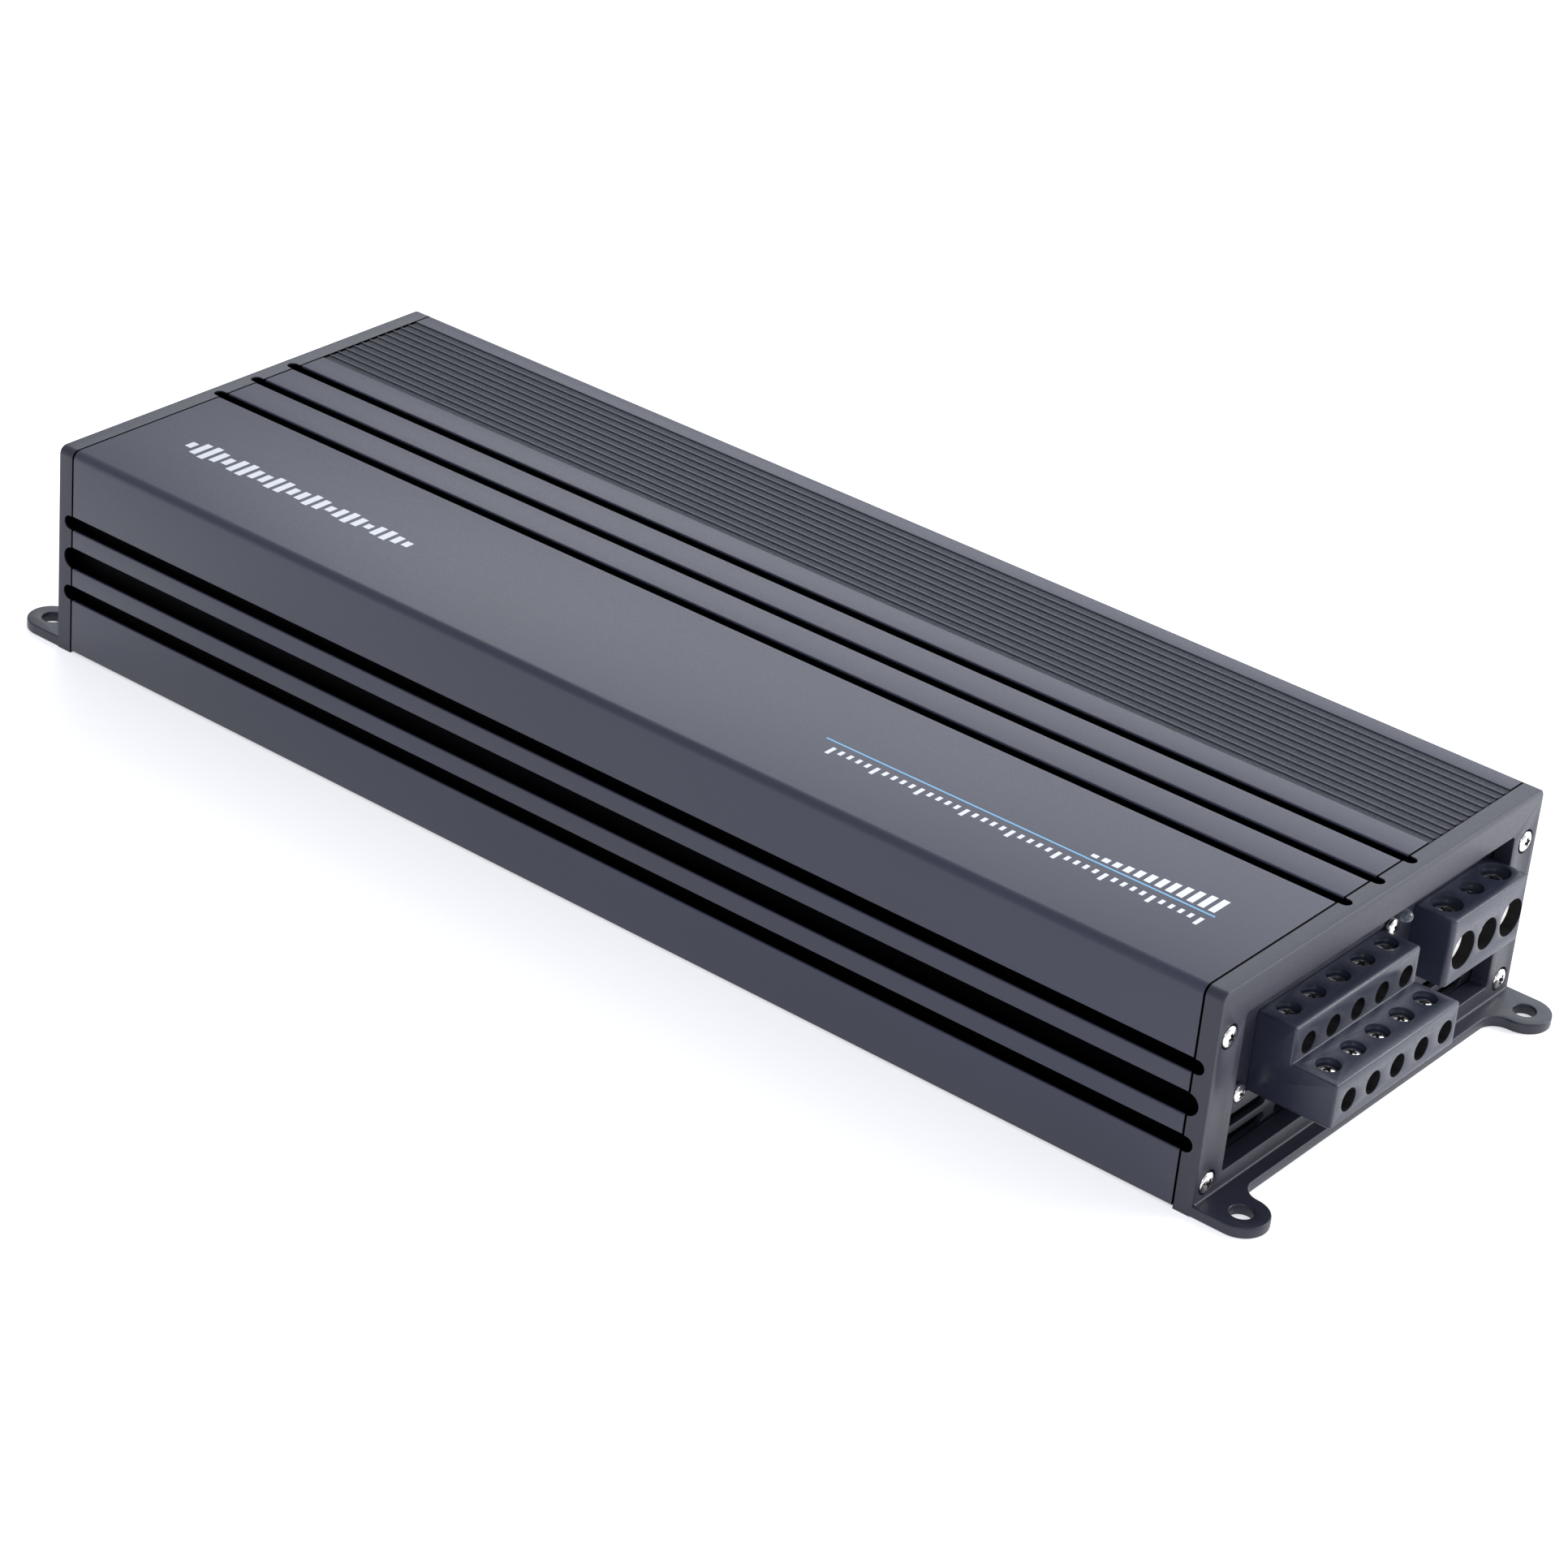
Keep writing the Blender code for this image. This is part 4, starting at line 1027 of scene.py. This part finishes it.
def end_screw(node, side, size, turn):
    """Screw driven into one end of the amplifier."""
    low, high = cad(node)
    crown = high.x if side > 0 else low.x
    axis = "+X" if side > 0 else "-X"
    screw(node, (crown, middle(node).y, middle(node).z), axis, size, high.x - low.x, turn)


def make_screws():
    turns = iter(DRIVER_TURNS)
    for tier, front, _ in TIERS:
        for i, y in enumerate(SPK_WAYS, start=1):
            clamp_screw(f"speaker_screw_{tier}_{i}", front - SPK_SCREW_BACK, y, SPK_SCREW,
                        next(turns))
    for i, (way, y, r) in enumerate(PWR_WAYS):
        clamp_screw(f"power_screw_{way}", PWR_X - PWR_SCREW_BACK, y, (r - 1.6, 1.8, 1.75),
                    DRIVER_TURNS[3 * i])
    for end, side in (("terminal", 1), ("control", -1)):
        for i in range(1, 5):
            end_screw(f"{end}_frame_screw_{i}", side, FRAME_SCREW, DRIVER_TURNS[i + 2])
    for i in (1, 2):
        end_screw(f"block_screw_{i}", 1, BLOCK_SCREW, DRIVER_TURNS[i])


# --- indicator lamp -------------------------------------------------------------------
def make_lamp():
    low, high = cad("status_lamp")
    centre = (low + high) / 2
    radius = (high.y - low.y) / 2
    length = high.x - low.x
    profile = [(0, -length), (radius, -length), (radius, -LENS_DOME - 0.2), (radius, -LENS_DOME)]
    profile += dome(radius, -LENS_DOME, LENS_DOME, 8)
    lamp = lathe("lamp", profile, (high.x, centre.y, centre.z), "+X", MEDIUM)
    piece(lamp, "status_lamp_lens", lens, node="status_lamp")


# --- control end ----------------------------------------------------------------------
def knob_places():
    return [(name, middle(name).y, middle(name).z) for name in KNOBS]


def make_control_panel():
    low, high = cad("control_panel")
    loops = [rect(low.y, high.y, low.z, high.z, 1.0)]
    loops += [circle(y, z, 2.35, MEDIUM) for _, y, z in knob_places()]
    for name in SWITCHES:
        z = middle(f"{name}_slider").z
        reach = SWITCH_TRAVEL + LEVER_HALF[0] + GAP
        loops.append(rect(SWITCH_Y - reach, SWITCH_Y + reach, z - LEVER_HALF[1] - GAP,
                          z + LEVER_HALF[1] + GAP, 0.3))
    loops += [circle(y, z, JACK_R + GAP, MEDIUM) for y in JACK_COLUMNS for z in JACK_ROWS]
    y, z = SOCKET_YZ
    loops.append(rect(y - SOCKET_HALF[0] - GAP, y + SOCKET_HALF[0] + GAP,
                      z - SOCKET_HALF[1] - GAP, z + SOCKET_HALF[1] + GAP, 0.3))
    panel = plate("control_panel", loops, high.x - low.x, across((low.x + high.x) / 2),
                  edge=0.12)
    piece(panel, "control_panel_plate", control_finish(), node="control_panel")


def control_finish():
    """Charcoal panel with printed dial ticks round each knob and marks at the switches."""
    m = Mask("control_panel_print")
    fine = m.noise(2200.0, 3.0)
    drift = m.noise(14.0, 2.0)
    coat = m.blend(m.ramp(drift), srgb(40, 41, 50), srgb(46, 47, 57))
    ink = 0.0
    step_angle = math.radians(30)
    for _, y, z in knob_places():
        dy = m.math("SUBTRACT", m.y, y)
        dz = m.math("SUBTRACT", m.z, z)
        reach = m.math("SQRT", m.math("ADD", m.math("MULTIPLY", dy, dy),
                                      m.math("MULTIPLY", dz, dz)))
        turn = m.math("ARCTAN2", dy, dz)
        part = m.math("FRACT", m.math("ADD", m.math("DIVIDE", turn, step_angle), 0.5))
        step = m.math("ABSOLUTE", m.math("SUBTRACT", part, 0.5))
        width = m.math("MULTIPLY", m.math("MULTIPLY", step, reach), step_angle)
        sweep = m.math("LESS_THAN", m.math("ABSOLUTE", turn), math.radians(158))
        dial = m.both(m.math("LESS_THAN", width, 0.2), m.both(m.between(reach, 5.5, 6.5), sweep))
        ink = m.either(ink, dial)
    for name in SWITCHES:
        z = middle(f"{name}_slider").z
        for side in (-1, 1):
            y = SWITCH_Y + side * SWITCH_TRAVEL
            mark = m.both(m.between(m.y, y - 0.25, y + 0.25), m.between(m.z, z + 2.2, z + 3.4))
            ink = m.either(ink, mark)
    ink = m.both(ink, m.math("LESS_THAN", m.x, CTRL_FACE + 0.1))
    m.set("Base Color", m.blend(ink, coat, srgb(214, 217, 220)))
    m.set("Roughness", m.ramp(fine, 0.42, 0.55))
    m.set("Normal", m.bump(fine, 0.4, 0.00003))
    return m.mat


def make_knobs():
    for name, y, z in knob_places():
        front = cad(name)[0].x
        base = front + KNOB_LEN
        profile = [(0, -4.0), (2.0, -4.0), (2.0, 0.0), (KNOB_R - 0.15, 0.0), (KNOB_R, 0.15),
                   (KNOB_R, 0.9), (KNOB_R - 0.35, 1.2), (KNOB_R - 0.8, KNOB_LEN - 0.5),
                   (KNOB_R - 1.2, KNOB_LEN - 0.1), (KNOB_R - 1.7, KNOB_LEN),
                   (KNOB_R - 2.2, KNOB_LEN - 0.25), (0, KNOB_LEN - 0.25)]
        knob = lathe("knob", profile, (base, y, z), "-X", MEDIUM)
        rib = [(0.42, 1.3), (0.42, KNOB_LEN + 1)]
        tools = []
        for i in range(KNOB_RIBS):
            a = 2 * math.pi * i / KNOB_RIBS
            place = (base, y + KNOB_R * math.sin(a), z + KNOB_R * math.cos(a))
            tools.append(lathe("rib", rib, place, "-X", 8))
        tools.append(block("pointer", (front - 1, y - 0.35, z + 0.7),
                           (front + 0.65, y + 0.35, z + KNOB_R + 1)))
        cut(knob, tools)
        piece(knob, f"{name}_cap", knob_plastic, body=name, node=name)
        line = block("line", (front + 0.36, y - 0.3, z + 0.8), (front + 0.72, y + 0.3, z + 3.4),
                     0.08, 2)
        piece(line, f"{name}_pointer", white_print, body=name)


def make_switches():
    for name in SWITCHES:
        node = f"{name}_slider"
        low, high = cad(node)
        lever = block("lever", low, high, 0.3)
        grooves = [block("groove", (low.x - 0.5, y - 0.16, low.z - 1),
                         (low.x + 0.35, y + 0.16, high.z + 1))
                   for y in (SWITCH_Y - 0.9, SWITCH_Y - 0.3, SWITCH_Y + 0.3, SWITCH_Y + 0.9)]
        cut(lever, grooves)
        piece(lever, f"{node}_cap", knob_plastic, body=node, node=node)


def make_jacks():
    low, high = cad("input_jack_block")
    body = block("jack_block", (JACK_BODY_FRONT, low.y, low.z), high, 0.4)
    piece(body, "input_jack_body", gloss_black, node="input_jack_block")
    length = JACK_BODY_FRONT + 0.2 - JACK_FACE
    sleeve_section = [(JACK_R - 0.15, 0.0), (JACK_R, 0.15), (JACK_R, length - 2.0),
                      (JACK_R, length), (3.35, length), (3.35, 0.2), (3.55, 0.0)]
    insulator_section = [(3.3, 0.9), (3.3, length), (1.65, length), (1.65, 0.7), (2.0, 0.45),
                         (3.0, 0.6)]
    contact_section = [(1.6, 1.2), (1.6, length), (1.25, length), (1.25, 1.0), (1.4, 0.9)]
    for row, z, tint in zip(("lower", "upper"), JACK_ROWS, (jack_red, jack_white)):
        for i, y in enumerate(JACK_COLUMNS, start=1):
            mouth = (JACK_FACE, y, z)
            tube = ring_solid("sleeve", sleeve_section, mouth, "+X")
            piece(tube, f"jack_sleeve_{row}_{i}", nickel)
            insulator = ring_solid("collar", insulator_section, mouth, "+X")
            piece(insulator, f"jack_insulator_{row}_{i}", tint)
            contact = ring_solid("contact", contact_section, mouth, "+X", MEDIUM)
            piece(contact, f"jack_contact_{row}_{i}", gold)


def make_remote_socket():
    y, z = SOCKET_YZ
    low, high = cad("remote_level_socket")
    outer = rect(y - SOCKET_HALF[0], y + SOCKET_HALF[0], z - SOCKET_HALF[1],
                 z + SOCKET_HALF[1], 0.4)
    inner = [(y - 4.9, z - 3.6), (y + 4.9, z - 3.6), (y + 4.9, z + 2.2), (y + 2.6, z + 2.2),
             (y + 2.6, z + 3.4), (y - 2.6, z + 3.4), (y - 2.6, z + 2.2), (y - 4.9, z + 2.2)]
    shell = plate("socket", [outer, inner], SOCKET_DEPTH, across(low.x + SOCKET_DEPTH / 2),
                  edge=0.15)
    back = block("back", (low.x + SOCKET_DEPTH - 0.3, low.y, low.z), high, 0.2)
    combine(shell, [back], "UNION")
    piece(shell, "remote_socket_shell", gloss_black, node="remote_level_socket")
    for i in range(CONTACTS):
        wire_y = y + CONTACT_PITCH * (i - (CONTACTS - 1) / 2)
        wire = block("wire", (low.x + 1.2, wire_y - 0.22, z - 3.3),
                     (low.x + SOCKET_DEPTH + 0.1, wire_y + 0.22, z - 2.9), 0.08, 2)
        piece(wire, f"remote_contact_{i + 1}", gold)


# --- underside ------------------------------------------------------------------------
def make_cover():
    low, high = cad("bottom_cover")
    outline = rect(low.x, high.x, low.y, high.y, 1.0)
    cover = plate("cover", [outline], COVER_T, flat(COVER_T / 2), edge=0.2)
    cut(cover, [drill(x, y, 0.0, 2.6, 0.8, "-Z", 0.2) for x, y in COVER_SCREWS])
    piece(cover, "bottom_cover_sheet", cover_black, node="bottom_cover")
    head_profile = [(0, -1.4), (1.2, -1.4), (1.2, -0.7), (2.35, -0.6), (2.35, -0.15),
                    (2.2, -0.02), (0, -0.02)]
    post_profile = [(2.9, 0), (3.0, 0.2), (3.0, 1.8), (2.9, 2.0)]
    for number, (x, y) in enumerate(COVER_SCREWS, start=1):
        head = lathe("cover_screw", head_profile, segments=MEDIUM)
        cut(head, phillips(1.35, 0.8))
        head.data.transform(Matrix.Translation((x * MM, y * MM, 0)) @ facing("-Z"))
        piece(head, f"cover_screw_{number}", nickel)
        post = lathe("standoff", post_profile, (x, y, COVER_T - 0.2), "+Z", MEDIUM)
        piece(post, f"standoff_{number}", zinc)


# --- carried-over CAD nodes -----------------------------------------------------------
def dress_inside():
    groups = ((board_green, ("circuit_board", "control_board")),
              (winding, ("power_transformer", "output_choke_1", "output_choke_2")),
              (sleeve, [f"filter_capacitor_{i}" for i in (1, 2, 3)]),
              (zinc, ("transistor_clamp_near", "transistor_clamp_far")),
              (nickel, [f"power_pad_{way}" for way, _, _ in PWR_WAYS]))
    for mat, nodes in groups:
        for node in nodes:
            data = frame["nodes"][node].data
            data.materials.clear()
            data.materials.append(mat)


# --- stage ----------------------------------------------------------------------------
def make_stage():
    bm = bmesh.new()
    bmesh.ops.create_grid(bm, x_segments=4, y_segments=4, size=4000)
    bmesh.ops.translate(bm, vec=(0, 0, -0.02), verts=bm.verts)
    floor = from_bmesh(bm, "floor")
    floor.data.materials.append(floor_paint)


def area_light(name, place, target, size, power, colour=(1, 1, 1)):
    data = bpy.data.lights.new(name, "AREA")
    data.shape = "RECTANGLE"
    data.size = size[0]
    data.size_y = size[1]
    data.energy = power
    data.color = colour
    obj = bpy.data.objects.new(name, data)
    bpy.context.scene.collection.objects.link(obj)
    obj.location = place
    aim = Vector(target) - Vector(place)
    obj.rotation_euler = aim.to_track_quat("-Z", "Y").to_euler()
    obj.visible_camera = False


def make_lights():
    world = bpy.data.worlds.new("studio")
    world.use_nodes = True
    world.node_tree.nodes["Background"].inputs["Color"].default_value = (0.93, 0.96, 1.08, 1)
    world.node_tree.nodes["Background"].inputs["Strength"].default_value = 0.64
    bpy.context.scene.world = world
    bpy.context.scene.view_settings.view_transform = "Standard"
    area_light("top_box", (-0.45, 1.1, 0.95), (0, 0, 0), (1.8, 1.2), 13, (0.93, 0.96, 1.0))
    area_light("floor_wash", (1.1, 1.1, 1.0), (0.7, 0.7, 0), (1.2, 1.2), 8)
    area_light("end_fill", (0.42, 0.30, 0.2), (0.17, 0.03, 0.02), (0.2, 0.2), 0.9)
    area_light("front_fill", (0.7, -0.95, 0.65), (0.1, 0, 0.02), (0.3, 0.3), 2.0)


def make_camera():
    """Long lens from the near terminal corner, leaning a little."""
    place = Vector((560.44, -754.28, 530.23)) * MM
    look = Vector((-0.51662, 0.70545, -0.48523)).normalized()
    lean = math.radians(5.68)
    data = bpy.data.cameras.new("camera")
    data.lens = 106.2
    data.sensor_width = 36.0
    data.clip_start = 0.01
    data.clip_end = 20.0
    camera = bpy.data.objects.new("camera", data)
    bpy.context.scene.collection.objects.link(camera)
    turn = look.to_track_quat("-Z", "Y").to_matrix().to_4x4()
    camera.matrix_world = Matrix.Translation(place) @ turn @ Matrix.Rotation(lean, 4, "Z")
    bpy.context.scene.camera = camera


make_camera()
make_lights()
make_stage()
make_shell()
frame_coat = frame_finish()
make_end_frame("terminal_end_frame", 1, frame_coat)
make_end_frame("control_end_frame", -1, frame_coat)
make_terminal_panel()
make_speaker_block()
make_power_block()
make_screws()
make_lamp()
make_control_panel()
make_knobs()
make_switches()
make_jacks()
make_remote_socket()
make_cover()
dress_inside()
